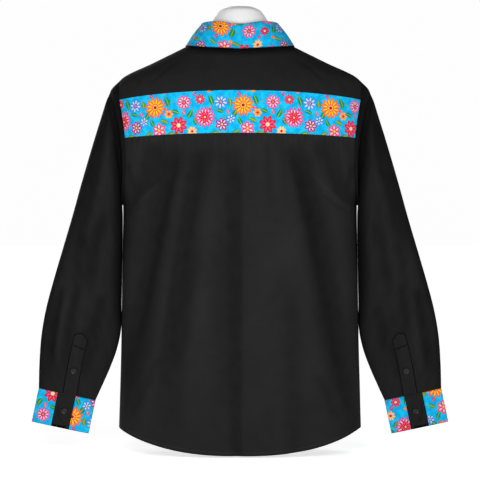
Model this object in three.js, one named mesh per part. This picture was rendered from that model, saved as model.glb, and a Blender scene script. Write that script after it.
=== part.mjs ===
// A long-sleeved ribbon shirt worn by a limbless torso form, at real size.
// Millimetres, +Z up. The origin is on the floor under the middle of the form's foot. The shirt's
// front faces -Y, its back +Y, and the wearer's left side is +X.
// Every piece of cloth is a thin wall. Its outer skin is worked out first, and the wall is that skin
// moved inwards along its normals.
import * as THREE from "three";

// ---- Driving dimensions ----------------------------------------------------------------------

const WALL = 1.5; // cloth with its seam allowances
const TRIM_WALL = 1.2; // plackets and cuff strips that lie on another piece
const SEAM_GAP = 0.3; // between pieces that are sewn together
const LIE_GAP = 0.5; // under a piece that lies on another

const SIDE_HEM_Z = 49.5;
const BACK_HEM_Z = 3.1; // lowest point of the back's shirt tail
const FRONT_HEM_Z = 14;
const HEM_HALF_WIDTH = 233.2;
const HEM_CURVE = 2.5;

const UNDERARM_Z = 476.5;
const SHOULDER_Z = 720.5; // where the sleeve seam crosses the shoulder
const ARMHOLE_BACK = 52; // how far the armhole reaches behind the side of the body
const ARMHOLE_FRONT = 46;
const ARMHOLE_FLATNESS = 0.9;

// The floral band across the upper back: its edges at the middle, and how far they drop at the ends.
const BAND = { topZ: 691, bottomZ: 610.5, topDrop: 12.8, bottomDrop: 6.8, halfWidth: 220 };
const FRONT_YOKE_TURN = 35; // degrees past the shoulder, on the armhole and on the neckline

// The neckline and the top of the collar stand, seen from above, and the stand's height.
const NECK = { halfWidth: 78, back: 65, front: 75 };
const STAND_TOP = { halfWidth: 70.5, back: 60, front: 66 };
const STAND_HEIGHT = 28;
const STAND_BACK_RISE = 3.6; // how much taller the stand is at the back
const STAND_OVERLAP = 10; // degrees of the stand past the middle of the front, on each side
const STAND_LIFT = 2.1; // how far the upper end of the stand lies outside the lower end
const STAND_LIFT_FROM = 50; // degrees from the left side to where that lift starts, and where it is whole
const STAND_LIFT_WHOLE = 76;
const STAND_SEAM_GAP = 0.4; // under the stand, along the neckline
const STAND_BUTTON_LIFT = 0.3;
const LEAF_START = 6; // degrees from the middle of the front to the end of the collar leaf
const PLACKET_NECK_DROP = 1.2; // how far the top of the placket stays below the neckline

const PLACKET_HALF_WIDTH = 16;
const UNDER_FRONT_REACH = 13; // how far the right front runs past the middle, under the placket
const FRONT_BUTTONS = 7;
const FRONT_BUTTON_TOP_DROP = 70; // from the front neck to the first button
const FRONT_BUTTON_STEP = 88;

const CUFF = { lowX: 278.5, lowZ: 100.4, highX: 388.3, highZ: 123.6, height: 65.6, halfDepth: 8 };
const CUFF_SQUARENESS = 2.8;
const CUFF_TURNS = 28;
const CUFF_STRIP_WIDTH = 35;
const TOWER_WIDTH = 27.8; // the sleeve placket
const TOWER_OFFSET = -5.5; // from the middle of the sleeve, towards the body
const TOWER_START_ROW = 11.1; // the tip of the placket, counted in rows of SLEEVE
const TOWER_POINT = 9; // length of the placket's pointed tip
const TOWER_BUTTON_ROW = 12.78; // where the placket's button sits, in rows of SLEEVE
const CUFF_BUTTON_OFFSET = -2; // from the middle of the cuff, towards the body

const BUTTON = { radius: 5.75, thickness: 2.8, dish: 0.7, rim: 1.3, sides: 14 };

const FORM_TURNS = 36;
const FORM_LONGEST_STEP = 60; // a taller step of the form gets a level halfway up

// ---- Sections --------------------------------------------------------------------------------

// The shirt body, cut level at each height. A section is a rounded oblong: its half width, how far it
// reaches to the back and to the front, and how square its corners are (2 is an ellipse).
const BODY = [
  { z: 0, halfWidth: 235, back: 110, front: 106, square: 2.3 },
  { z: 49.5, halfWidth: 233.2, back: 110, front: 106, square: 2.3 },
  { z: 220, halfWidth: 228.6, back: 111, front: 105, square: 2.3 },
  { z: 410, halfWidth: 225.5, back: 111, front: 105, square: 2.35 },
  { z: 476.5, halfWidth: 225, back: 110.5, front: 106.5, square: 2.4 },
  { z: 520, halfWidth: 228.5, back: 110, front: 108.5, square: 2.4 },
  { z: 573, halfWidth: 233.5, back: 109.5, front: 109.5, square: 2.4 },
  { z: 607, halfWidth: 237, back: 109, front: 108, square: 2.4 },
  { z: 650, halfWidth: 240, back: 108, front: 105, square: 2.4 },
  { z: 691, halfWidth: 238.5, back: 105, front: 99, square: 2.4 },
  { z: 720.5, halfWidth: 226.4, back: 96, front: 88, square: 2.35 },
  { z: 750, halfWidth: 166.8, back: 82, front: 72, square: 2.3 },
  { z: 774, halfWidth: 118.4, back: 70.5, front: 60, square: 2.25 },
  { z: 784, halfWidth: 98.2, back: 65, front: 55, square: 2.2 },
  { z: 794, halfWidth: 78, back: 60, front: 50, square: 2.1 },
  { z: 806, halfWidth: 54, back: 54, front: 44, square: 2.05 },
];

// The left sleeve, cut from its lower, inner edge to its upper, outer edge. The cuts fan round from
// upright at the armhole to nearly level at the wrist. bow is how far the middle of a cut lies towards
// the body. Row 0 is the armhole seam itself, which the body gives.
const SLEEVE = [
  { lowX: 227.8, lowZ: 476, highX: 246, highZ: 702, back: 49, front: 43, bow: 11 },
  { lowX: 227.6, lowZ: 474.5, highX: 252, highZ: 690, back: 30, front: 27, bow: 8 },
  { lowX: 227.3, lowZ: 472, highX: 258, highZ: 676, back: 46, front: 41, bow: 3 },
  { lowX: 226.9, lowZ: 468, highX: 266, highZ: 650, back: 54, front: 48, bow: 0 },
  { lowX: 226.3, lowZ: 455, highX: 277, highZ: 615, back: 56, front: 50, bow: 0 },
  { lowX: 226.2, lowZ: 435, highX: 288.5, highZ: 577, back: 56, front: 50, bow: 0 },
  { lowX: 226.5, lowZ: 395, highX: 306, highZ: 517, back: 55, front: 49, bow: 0 },
  { lowX: 227.3, lowZ: 345, highX: 324, highZ: 452, back: 52, front: 47, bow: 0 },
  { lowX: 228.4, lowZ: 290, highX: 343, highZ: 388, back: 47, front: 43, bow: 0 },
  { lowX: 229.1, lowZ: 240, highX: 360, highZ: 330, back: 41, front: 38, bow: 0 },
  { lowX: 237, lowZ: 200, highX: 374, highZ: 277, back: 34, front: 32, bow: 0 },
  { lowX: 250.5, lowZ: 163, highX: 383, highZ: 226, back: 26, front: 25, bow: 0 },
  { lowX: 265, lowZ: 130, highX: 387, highZ: 172, back: 17, front: 17, bow: 0 },
  { lowX: 278.5, lowZ: 100.7, highX: 388.3, highZ: 123.9, back: 8, front: 8, bow: 0 },
];
const SLEEVE_SQUARENESS = 2.3;

// The torso form, cut level at each height, from its foot to the top of its neck.
const FORM = [
  { z: 0, halfWidth: 90, back: 58, front: 56, square: 2 },
  { z: 5, halfWidth: 94, back: 62, front: 60, square: 2 },
  { z: 70, halfWidth: 112, back: 72, front: 70, square: 2 },
  { z: 150, halfWidth: 152, back: 88, front: 85, square: 2.1 },
  { z: 230, halfWidth: 182, back: 96, front: 92, square: 2.2 },
  { z: 300, halfWidth: 188, back: 96, front: 92, square: 2.2 },
  { z: 400, halfWidth: 176, back: 91, front: 88, square: 2.2 },
  { z: 500, halfWidth: 192, back: 99, front: 97, square: 2.3 },
  { z: 580, halfWidth: 204, back: 102, front: 102, square: 2.3 },
  { z: 650, halfWidth: 210, back: 100, front: 97, square: 2.3 },
  { z: 700, halfWidth: 211, back: 95, front: 88, square: 2.3 },
  { z: 722, halfWidth: 203, back: 90, front: 82, square: 2.3 },
  { z: 735, halfWidth: 189.5, back: 84.3, front: 75, square: 2.3 },
  { z: 750, halfWidth: 160.8, back: 76.8, front: 66.9, square: 2.3 },
  { z: 774, halfWidth: 112.4, back: 65.3, front: 55, square: 2.25 },
  { z: 784, halfWidth: 91, back: 59.6, front: 50.3, square: 2.2 },
  { z: 792, halfWidth: 70, back: 55, front: 50, square: 2.1 },
  { z: 804, halfWidth: 61.5, back: 52, front: 50, square: 2 },
  { z: 826.5, halfWidth: 56, back: 49, front: 47, square: 2 },
  { z: 847.5, halfWidth: 43, back: 40, front: 39, square: 2 },
  { z: 853, halfWidth: 37, back: 35, front: 34, square: 2 },
  { z: 858, halfWidth: 25, back: 24, front: 23, square: 2 },
];

// The lower edge of the collar leaf, from its point at the front to the middle of the back, by the
// direction round the neck in degrees.
const LEAF_EDGE = [
  { turn: -84, x: 60, y: -99, z: 700 },
  { turn: -60, x: 83, y: -86, z: 729 },
  { turn: -30, x: 99, y: -59, z: 762 },
  { turn: -15, x: 104, y: -31, z: 779 },
  { turn: 0, x: 105.4, y: -4, z: 783.6 },
  { turn: 30, x: 97, y: 38, z: 781 },
  { turn: 60, x: 66, y: 65, z: 776.5 },
  { turn: 90, x: 0, y: 78, z: 772 },
];

// The leaf's profile: out and up from the top of the stand, and the share of the way to its edge.
const LEAF_PROFILE = [
  { out: -1.5, up: 0.8, share: 0 },
  { out: -0.6, up: 3.6, share: 0 },
  { out: 3, up: 4.3, share: 0 },
  { out: 6.2, up: 0.5, share: 0.03 },
  { out: 4.5, up: 1, share: 0.45 },
  { out: 0, up: 0, share: 1 },
];

// Soft troughs in the cloth, by where each starts and ends. bow is how far the middle lies to +X.
const BACK_CREASES = [
  { topX: 167, topZ: 600, endX: 218, endZ: 465, bow: -12, reach: 18, depth: 3.5 },
  { topX: 124, topZ: 606, endX: 205, endZ: 150, bow: 3, reach: 23, depth: 7 },
  { topX: 72, topZ: 608, endX: 132, endZ: 120, bow: 6, reach: 23, depth: 5.5 },
  { topX: 14, topZ: 609, endX: 22, endZ: 110, bow: 1, reach: 28, depth: 3.5 },
  { topX: -102, topZ: 607, endX: -192, endZ: 130, bow: -9, reach: 23, depth: 7 },
  { topX: -158, topZ: 604, endX: -218, endZ: 475, bow: 9, reach: 18, depth: 3.5 },
];
const FRONT_CREASES = [
  { topX: 150, topZ: 640, endX: 205, endZ: 170, bow: 6, reach: 23, depth: 6 },
  { topX: 88, topZ: 660, endX: 120, endZ: 220, bow: 4, reach: 22, depth: 5 },
  { topX: -96, topZ: 670, endX: -128, endZ: 180, bow: -5, reach: 22, depth: 5 },
  { topX: -148, topZ: 630, endX: -208, endZ: 210, bow: -8, reach: 23, depth: 6 },
];

// ---- Materials -------------------------------------------------------------------------------

const blackCotton = new THREE.MeshStandardMaterial({ color: 0x1d1d1e, roughness: 0.9 });
const floralCotton = new THREE.MeshStandardMaterial({ color: 0x00b4e6, roughness: 0.85 });
const blackButton = new THREE.MeshStandardMaterial({ color: 0x151515, roughness: 0.35 });
const paleForm = new THREE.MeshStandardMaterial({ color: 0xe4e4e3, roughness: 0.7 });

// ---- Helpers ---------------------------------------------------------------------------------

const { clamp, degToRad, lerp, radToDeg, smoothstep } = THREE.MathUtils;
const UP = new THREE.Vector3(0, 0, 1);

const steps = (count, from = 0, to = 1) =>
  Array.from({ length: count + 1 }, (_, i) => lerp(from, to, i / count));

const signedPower = (value, power) => Math.sign(value) * Math.abs(value) ** power;

// A smooth reading of a table's other columns at any value of its key column.
function smoothTable(rows, key) {
  const columns = Object.keys(rows[0]).filter((column) => column !== key);
  return (at) => {
    let i = 0;
    while (i < rows.length - 2 && at > rows[i + 1][key]) i += 1;
    const [start, end] = [rows[i], rows[i + 1]];
    const before = rows[Math.max(i - 1, 0)];
    const after = rows[Math.min(i + 2, rows.length - 1)];
    const span = end[key] - start[key];
    const t = clamp((at - start[key]) / span, 0, 1);
    const found = {};
    for (const column of columns) {
      const startSlope = (end[column] - before[column]) / (end[key] - before[key]);
      const endSlope = (after[column] - start[column]) / (after[key] - start[key]);
      found[column] = start[column] * (1 + 2 * t) * (1 - t) ** 2
        + end[column] * t * t * (3 - 2 * t)
        + span * (startSlope * t * (1 - t) ** 2 - endSlope * t * t * (1 - t));
    }
    return found;
  };
}

// A point on a level section. angle 0 is the wearer's left, a quarter turn is the back.
function sectionPoint(section, angle, z) {
  const power = 2 / section.square;
  const depth = Math.sin(angle) > 0 ? section.back : section.front;
  return new THREE.Vector3(
    section.halfWidth * signedPower(Math.cos(angle), power),
    depth * signedPower(Math.sin(angle), power),
    z,
  );
}

// How deep the creases are at x and z. Each fades in below its top and out towards its end.
function creaseDepth(creases, x, z) {
  let depth = 0;
  for (const crease of creases) {
    const t = (crease.topZ - z) / (crease.topZ - crease.endZ);
    if (t <= 0 || t >= 1) continue;
    const middle = lerp(crease.topX, crease.endX, t) + crease.bow * 4 * t * (1 - t);
    const fade = smoothstep(t, 0, 0.12) * (1 - smoothstep(t, 0.6, 1));
    depth += crease.depth * fade * Math.exp(-(((x - middle) / crease.reach) ** 2));
  }
  return depth;
}

// The unit normal of surface(a, b). facing is 1 where turning from a to b is seen anticlockwise from
// outside, and -1 where it is seen clockwise.
function normalOf(surface, a, b, stepA, stepB, facing) {
  const alongA = surface(a + stepA, b).sub(surface(a - stepA, b));
  const alongB = surface(a, b + stepB).sub(surface(a, b - stepB));
  return alongA.cross(alongB).setLength(facing);
}

// A closed mesh from points and the corners of its faces, turned so that its faces point out.
function meshFrom(name, material, points, faces) {
  const split = ([a, b, c, d]) => (d === undefined ? [[a, b, c]] : [[a, b, c], [a, c, d]]);
  const triangles = faces.flatMap(split);
  let volume = 0;
  for (const [a, b, c] of triangles) volume += points[a].dot(points[b].clone().cross(points[c]));
  if (volume < 0) triangles.forEach((triangle) => triangle.reverse());
  const geometry = new THREE.BufferGeometry().setFromPoints(points);
  geometry.setIndex(triangles.flat());
  geometry.computeVertexNormals();
  const mesh = new THREE.Mesh(geometry, material);
  mesh.name = name;
  return mesh;
}

// A cloth wall. skin is a grid of { point, normal } rows. The wall lies under the skin. closed joins
// each row's last point to its first, as on a sleeve. Each cell is split along its shorter diagonal.
function clothWall(name, material, skin, thickness, closed = false) {
  const rows = skin.length;
  const columns = skin[0].length;
  const outer = skin.flat().map(({ point }) => point.clone());
  const inner = skin.flat().map(({ point, normal }) => point.clone().addScaledVector(normal, -thickness));
  const under = outer.length;
  const at = (row, column) => row * columns + (column % columns);
  const bands = closed ? columns : columns - 1;
  const faces = [];
  for (let row = 0; row < rows - 1; row += 1) {
    for (let column = 0; column < bands; column += 1) {
      const corners = [at(row, column), at(row, column + 1), at(row + 1, column + 1), at(row + 1, column)];
      const [p, q, r, s] = corners.map((corner) => outer[corner]);
      const [a, b, c, d] = p.distanceTo(r) < q.distanceTo(s) ? corners : [...corners.slice(1), corners[0]];
      faces.push([a, b, c], [a, c, d]);
      faces.push([c + under, b + under, a + under], [d + under, c + under, a + under]);
    }
  }
  const rim = [];
  for (let column = 0; column < bands; column += 1) {
    rim.push([at(0, column + 1), at(0, column)], [at(rows - 1, column), at(rows - 1, column + 1)]);
  }
  if (!closed) {
    for (let row = 0; row < rows - 1; row += 1) {
      rim.push([at(row, 0), at(row + 1, 0)], [at(row + 1, columns - 1), at(row, columns - 1)]);
    }
  }
  for (const [from, to] of rim) faces.push([from, to, to + under, from + under]);
  return meshFrom(name, material, [...outer, ...inner], faces);
}

// The same skin moved out along its normals, for a piece that lies on it.
const lifted = (skin, height) =>
  skin.map((row) =>
    row.map(({ point, normal }) => ({
      point: point.clone().addScaledVector(normal, height),
      normal,
    })));

const mirrored = (skin) =>
  skin.map((row) =>
    row.map(({ point, normal }) => ({
      point: point.clone().setX(-point.x),
      normal: normal.clone().setX(-normal.x),
    })));

// ---- The shirt body --------------------------------------------------------------------------

const bodySection = smoothTable(BODY, "z");

function bodyPoint(angle, z) {
  return sectionPoint(bodySection(z), angle, z);
}

// The body's outer skin with its creases, at a direction and a height.
function bodySkin(angle, z) {
  const point = bodyPoint(angle, z);
  const normal = normalOf(bodyPoint, angle, z, 0.01, 0.5, 1);
  const creases = point.y > 0 ? BACK_CREASES : FRONT_CREASES;
  point.addScaledVector(normal, -creaseDepth(creases, point.x, z));
  return { point, normal };
}

// The direction in which the body's section at z reaches this y, on the wearer's left.
function angleAt(y, z) {
  const section = bodySection(z);
  const depth = y > 0 ? section.back : section.front;
  return Math.sign(y) * Math.asin(Math.abs(y / depth) ** (section.square / 2));
}

// The direction in which the front of the body's section at z reaches this x.
function frontAngleAt(x, z) {
  const section = bodySection(z);
  return -Math.acos(signedPower(x / section.halfWidth, section.square / 2));
}

const hemHeight = (x, lowest) =>
  lowest + (SIDE_HEM_Z - lowest) * Math.min(Math.abs(x) / HEM_HALF_WIDTH, 1) ** HEM_CURVE;

// A point of the left armhole seam: turn 0 is the underarm, a quarter turn the back, half the shoulder.
function armhole(turn) {
  const z = lerp(UNDERARM_Z, SHOULDER_Z, (1 - Math.cos(turn)) / 2);
  const reach = Math.sin(turn) > 0 ? ARMHOLE_BACK : ARMHOLE_FRONT;
  const y = reach * signedPower(Math.sin(turn), ARMHOLE_FLATNESS);
  return { angle: Math.abs(y) < 0.01 ? 0 : angleAt(y, z), z };
}

const armholeTurnAt = (z) => Math.acos((UNDERARM_Z + SHOULDER_Z - 2 * z) / (SHOULDER_Z - UNDERARM_Z));

// An oval seen from above, by the direction round the neck.
function oval({ halfWidth, back, front }, turn) {
  const towardsBack = Math.sin(turn);
  return { x: halfWidth * Math.cos(turn), y: (towardsBack > 0 ? back : front) * towardsBack };
}

// The neckline is the body's skin under that oval: its direction and height on the body.
function neckline(turn) {
  const { x, y } = oval(NECK, turn);
  let [low, high] = [SHOULDER_Z, BODY.at(-1).z + 1];
  const across = ({ halfWidth, square }) => signedPower(x / halfWidth, square / 2);
  const along = ({ back, front, square }) => signedPower(y / (y > 0 ? back : front), square / 2);
  for (let i = 0; i < 40; i += 1) {
    const section = bodySection((low + high) / 2);
    if (Math.hypot(across(section), along(section)) > 1) high = (low + high) / 2;
    else low = (low + high) / 2;
  }
  const section = bodySection(low);
  return { angle: Math.atan2(along(section), across(section)), z: low };
}

const bandEdge = (x, middleZ, drop) => middleZ - drop * (x / BAND.halfWidth) ** 2;

// Where the pieces meet on the armhole. The sleeve has a column at each of these turns, so that the
// edges on both sides of the seam run side by side.
const BAND_BOTTOM_TURN = armholeTurnAt(bandEdge(BAND.halfWidth, BAND.bottomZ, BAND.bottomDrop));
const BAND_TOP_TURN = armholeTurnAt(bandEdge(BAND.halfWidth, BAND.topZ, BAND.topDrop));
const FRONT_YOKE_TURN_RAD = Math.PI + degToRad(FRONT_YOKE_TURN);
const ARMHOLE_TURNS = {
  back: steps(7, 0, BAND_BOTTOM_TURN),
  band: steps(3, BAND_BOTTOM_TURN, BAND_TOP_TURN),
  yoke: steps(6, BAND_TOP_TURN, FRONT_YOKE_TURN_RAD),
  front: steps(9, FRONT_YOKE_TURN_RAD, 2 * Math.PI),
};

// The back's columns, as shares of the way round from side to side. They stand closer in the middle,
// where a turn covers more of the width.
const MIDDLE_CLOSENESS = 0.35;
const BACK_COLUMNS = steps(18).map((share) =>
  share + (MIDDLE_CLOSENESS * Math.sin(2 * Math.PI * share)) / (2 * Math.PI));
const YOKE_ROWS = [0, 0.09, 0.22, 0.42, 0.7, 1]; // shares of the way from the armhole to the neck
const HALF_GAP = SEAM_GAP / 2;
const FRONT_ROW_RISE = 4;
const COLUMN_LEAN_FROM = 0.3; // share of a panel's width beyond which its columns lean evenly

// The neckline's columns, from the middle of the front round the left side to the middle of the back
// and on. The yoke, the fronts, the stand and the leaf all use them.
const BACK_NECK_TURN = degToRad(30);
const YOKE_NECK_TURN = degToRad(-FRONT_YOKE_TURN);
const LEFT_FRONT_EDGE = PLACKET_HALF_WIDTH + SEAM_GAP;
const LEAF_START_TURN = degToRad(-90 + LEAF_START);
const neckTurnAtX = (x) => -Math.acos(x / NECK.halfWidth);
const shoulderNeckTurn = (turn) => {
  const pastShoulder = (turn - Math.PI) / (FRONT_YOKE_TURN_RAD - Math.PI);
  const behindShoulder = (Math.PI - turn) / (Math.PI - BAND_TOP_TURN);
  return pastShoulder > 0 ? YOKE_NECK_TURN * pastShoulder : BACK_NECK_TURN * behindShoulder;
};
const SHOULDER_NECK_TURNS = ARMHOLE_TURNS.yoke.map(shoulderNeckTurn).reverse();
const BACK_NECK_TURNS = BACK_COLUMNS.map((share) => lerp(BACK_NECK_TURN, Math.PI - BACK_NECK_TURN, share));
const LEFT_NECK_TURNS = [
  ...steps(5, neckTurnAtX(LEFT_FRONT_EDGE), YOKE_NECK_TURN).slice(0, -1),
  ...SHOULDER_NECK_TURNS.slice(0, -1),
];
const NECK_TURNS = [
  ...LEFT_NECK_TURNS,
  ...BACK_NECK_TURNS,
  ...LEFT_NECK_TURNS.map((turn) => Math.PI - turn).reverse(),
];

// The two ends of a level row across the back, at an armhole turn or at a height on the side seam.
function sideEnd(turnOrNull, z, side) {
  const nearSide = (side * HALF_GAP) / HEM_HALF_WIDTH;
  if (turnOrNull === null) return { angle: nearSide, z };
  const seam = armhole(turnOrNull);
  return Math.abs(seam.angle) < Math.abs(nearSide) ? { angle: nearSide, z: seam.z } : seam;
}

// The direction of each column on a level row between the two armholes or side seams.
const acrossBack = (end, share) => lerp(end.angle, Math.PI - end.angle, share);

// How far a column has moved from its place at the hem to its place at the top of the panel. By the
// armhole it follows the seam, and away from it the column leans evenly from hem to top.
const columnShift = (seamShift, climb, fromArmhole) =>
  lerp(seamShift, climb, smoothstep(fromArmhole, 0, COLUMN_LEAN_FROM));

function backPanel() {
  const ends = [
    ...steps(8, SIDE_HEM_Z, UNDERARM_Z).slice(0, -1).map((z) => sideEnd(null, z, 1)),
    ...ARMHOLE_TURNS.back.map((turn) => sideEnd(turn, null, 1)),
  ];
  const top = ends.at(-1);
  const skin = ends.map((end) => {
    const climb = (end.z - SIDE_HEM_Z) / (top.z - SIDE_HEM_Z);
    const seamShift = (end.angle - ends[0].angle) / (top.angle - ends[0].angle);
    return BACK_COLUMNS.map((share) => {
      const shift = columnShift(seamShift, climb, Math.min(share, 1 - share));
      const angle = lerp(acrossBack(ends[0], share), acrossBack(top, share), shift);
      const hemX = bodyPoint(acrossBack(ends[0], share), SIDE_HEM_Z).x;
      const topX = bodyPoint(acrossBack(top, share), top.z).x;
      const low = hemHeight(hemX, BACK_HEM_Z);
      const high = bandEdge(topX, BAND.bottomZ, BAND.bottomDrop) - HALF_GAP;
      return bodySkin(angle, lerp(low, high, climb));
    });
  });
  return clothWall("back", blackCotton, skin, WALL);
}

function yokeBand() {
  const ends = ARMHOLE_TURNS.band.map((turn) => armhole(turn));
  const [bottom, top] = [ends[0], ends.at(-1)];
  const skin = ends.map((end) => {
    const climb = (end.z - bottom.z) / (top.z - bottom.z);
    return BACK_COLUMNS.map((share) => {
      const bottomX = bodyPoint(acrossBack(bottom, share), bottom.z).x;
      const topX = bodyPoint(acrossBack(top, share), top.z).x;
      const low = bandEdge(bottomX, BAND.bottomZ, BAND.bottomDrop) + HALF_GAP;
      const high = bandEdge(topX, BAND.topZ, BAND.topDrop) - HALF_GAP;
      return bodySkin(acrossBack(end, share), lerp(low, high, climb));
    });
  });
  drawBackEnds(skin, SEAM_GAP);
  return clothWall("yoke_band", floralCotton, skin, WALL);
}

// The yoke runs from the left front over the shoulder, across the back and over to the right front.
// Its outer edge follows the armholes and the band, its inner edge the neckline.
function yoke() {
  const overShoulder = ARMHOLE_TURNS.yoke.map((turn) => ({
    edge: armhole(turn),
    neck: neckline(shoulderNeckTurn(turn)),
  })).reverse();
  const top = armhole(BAND_TOP_TURN);
  const acrossBand = BACK_COLUMNS.slice(1, -1).map((share, i) => {
    const angle = acrossBack(top, share);
    const { x } = bodyPoint(angle, top.z);
    return {
      edge: { angle, z: bandEdge(x, BAND.topZ, BAND.topDrop) + HALF_GAP },
      neck: neckline(BACK_NECK_TURNS[i + 1]),
    };
  });
  const otherSide = overShoulder.map(({ edge, neck }) => ({
    edge: { angle: Math.PI - edge.angle, z: edge.z },
    neck: { angle: Math.PI - neck.angle, z: neck.z },
  })).reverse();
  const stations = [...overShoulder, ...acrossBand, ...otherSide];
  const skin = YOKE_ROWS.map((share) =>
    stations.map(({ edge, neck }) =>
      bodySkin(lerp(edge.angle, neck.angle, share), lerp(edge.z, neck.z, share))));
  drawBackEnds(skin, SEAM_GAP + HALF_GAP);
  return clothWall("yoke", blackCotton, skin, WALL);
}

// Moves both ends of each row towards the points next to them.
function drawBackEnds(skin, distance) {
  for (const row of skin) {
    for (const [end, before] of [[row[0], row[1]], [row.at(-1), row.at(-2)]]) {
      end.point.add(before.point.clone().sub(end.point).setLength(distance));
    }
  }
}

// The heights of a side edge's rows, from its hem up to the row below the end of the armhole.
const sideHeights = steps(8, SIDE_HEM_Z, UNDERARM_Z).slice(0, -1);
const FRONT_ENDS = [
  ...sideHeights.map((z) => sideEnd(null, z, -1)),
  ...[...ARMHOLE_TURNS.front].reverse().map((turn) => sideEnd(turn, null, -1)),
];
const FRONT_YOKE_Z = FRONT_ENDS.at(-1).z;
const frontClimb = (end) => (end.z - SIDE_HEM_Z) / (FRONT_YOKE_Z - SIDE_HEM_Z);

// The height of a row of the front in a column that runs from lowZ to topZ. The rows are level at the
// underarm and follow the slope of the shoulder and neck at the top.
const frontHeight = (lowZ, topZ, climb) =>
  lerp(lowZ, FRONT_YOKE_Z, climb) + (topZ - FRONT_YOKE_Z) * climb ** FRONT_ROW_RISE;

// The left front's skin, ending at centreX. The right front is its mirror image with creases of its
// own, so creaseSide says which side's creases it has.
function frontSkin(centreX, creaseSide) {
  const yokeEnd = FRONT_ENDS.at(-1);
  const yokeNeck = neckline(YOKE_NECK_TURN);
  const alongYoke = YOKE_ROWS.map((share) => ({
    angle: lerp(yokeEnd.angle, yokeNeck.angle, share),
    z: lerp(yokeEnd.z, yokeNeck.z, share),
  }));
  const alongNeck = LEFT_NECK_TURNS.slice(1, 5).reverse();
  const pastPlacketEdge = centreX < 0 ? [LEFT_NECK_TURNS[0], LEAF_START_TURN, -Math.PI / 2] : [];
  const toMiddle = [...alongNeck, ...pastPlacketEdge, neckTurnAtX(centreX)];
  const topEdge = [...alongYoke, ...toMiddle.map(neckline)];
  const last = topEdge.at(-1);
  const columns = topEdge.map(({ angle, z }) => ({
    share: (angle - yokeEnd.angle) / (last.angle - yokeEnd.angle),
    topZ: z,
  }));
  const hemMiddle = frontAngleAt(centreX, SIDE_HEM_Z);
  return FRONT_ENDS.map((end) => {
    const climb = frontClimb(end);
    const middleZ = frontHeight(hemHeight(centreX, FRONT_HEM_Z), last.z, climb);
    const middle = frontAngleAt(centreX, middleZ);
    const sideAngle = FRONT_ENDS[0].angle;
    const seamShift = (end.angle - sideAngle) / (yokeEnd.angle - sideAngle);
    return columns.map(({ share, topZ }) => {
      const hemX = bodyPoint(lerp(FRONT_ENDS[0].angle, hemMiddle, share), SIDE_HEM_Z).x;
      const z = frontHeight(hemHeight(hemX, FRONT_HEM_Z), topZ, climb);
      const shift = columnShift(seamShift, climb, share);
      const angle = lerp(lerp(sideAngle, yokeEnd.angle, shift), middle, share);
      return creaseSide > 0 ? bodySkin(angle, z) : mirrored([[bodySkin(Math.PI - angle, z)]])[0][0];
    });
  });
}

function fronts() {
  const left = frontSkin(LEFT_FRONT_EDGE, 1);
  const right = mirrored(frontSkin(-UNDER_FRONT_REACH, -1));
  return [
    clothWall("front_left", blackCotton, left, WALL),
    clothWall("front_right", blackCotton, right, WALL),
  ];
}

const frontSkinAt = (x, z) => bodySkin(frontAngleAt(x, z), z);

const PLACKET_LIFT = LIE_GAP + TRIM_WALL;

function frontPlacket() {
  const skin = FRONT_ENDS.map((end) =>
    steps(4, -PLACKET_HALF_WIDTH, PLACKET_HALF_WIDTH).map((x) => {
      const top = neckline(neckTurnAtX(x)).z - PLACKET_NECK_DROP;
      return frontSkinAt(x, frontHeight(hemHeight(x, FRONT_HEM_Z), top, frontClimb(end)));
    }));
  return clothWall("front_placket", blackCotton, lifted(skin, PLACKET_LIFT), TRIM_WALL);
}

// ---- The collar ------------------------------------------------------------------------------

function standBase(turn) {
  const { angle, z } = neckline(turn);
  return bodyPoint(angle, z);
}

function standTop(turn) {
  const { x, y } = oval(STAND_TOP, turn);
  const rise = STAND_HEIGHT + STAND_BACK_RISE * Math.max(Math.sin(turn), 0) ** 2;
  return new THREE.Vector3(x, y, neckline(turn).z + rise);
}

// Straight out from the neck, level.
function outward(turn) {
  const depth = Math.sin(turn) > 0 ? STAND_TOP.back : STAND_TOP.front;
  return new THREE.Vector3(Math.cos(turn) / STAND_TOP.halfWidth, Math.sin(turn) / depth, 0).normalize();
}

// The stand's outer skin. Its left end lies over its right end, and lifts clear of it.
function standPoint(turn, climb) {
  const pastMiddle = smoothstep(-turn, degToRad(STAND_LIFT_FROM), degToRad(STAND_LIFT_WHOLE));
  return standBase(turn).addScaledVector(UP, STAND_SEAM_GAP).lerp(standTop(turn), climb)
    .addScaledVector(outward(turn), STAND_LIFT * pastMiddle);
}

function collarStand() {
  const overlap = [degToRad(-90 - STAND_OVERLAP), -Math.PI / 2, LEAF_START_TURN];
  const turns = [...overlap, ...NECK_TURNS, ...overlap.map((turn) => Math.PI - turn).reverse()];
  const skin = [0, 1].map((climb) =>
    turns.map((turn) => ({ point: standPoint(turn, climb), normal: outward(turn) })));
  return clothWall("collar_stand", blackCotton, skin, WALL);
}

const leafEdge = smoothTable(LEAF_EDGE, "turn");
const leafProfile = smoothTable(LEAF_PROFILE.map((row, step) => ({ step, ...row })), "step");

function leafPoint(turn, step) {
  const degrees = radToDeg(turn);
  const back = degrees > 90;
  const edge = leafEdge(back ? 180 - degrees : degrees);
  const rim = new THREE.Vector3(back ? -edge.x : edge.x, edge.y, edge.z);
  const { out, up, share } = leafProfile(step);
  return standTop(turn).lerp(rim, share).addScaledVector(outward(turn), out).addScaledVector(UP, up);
}

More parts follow.
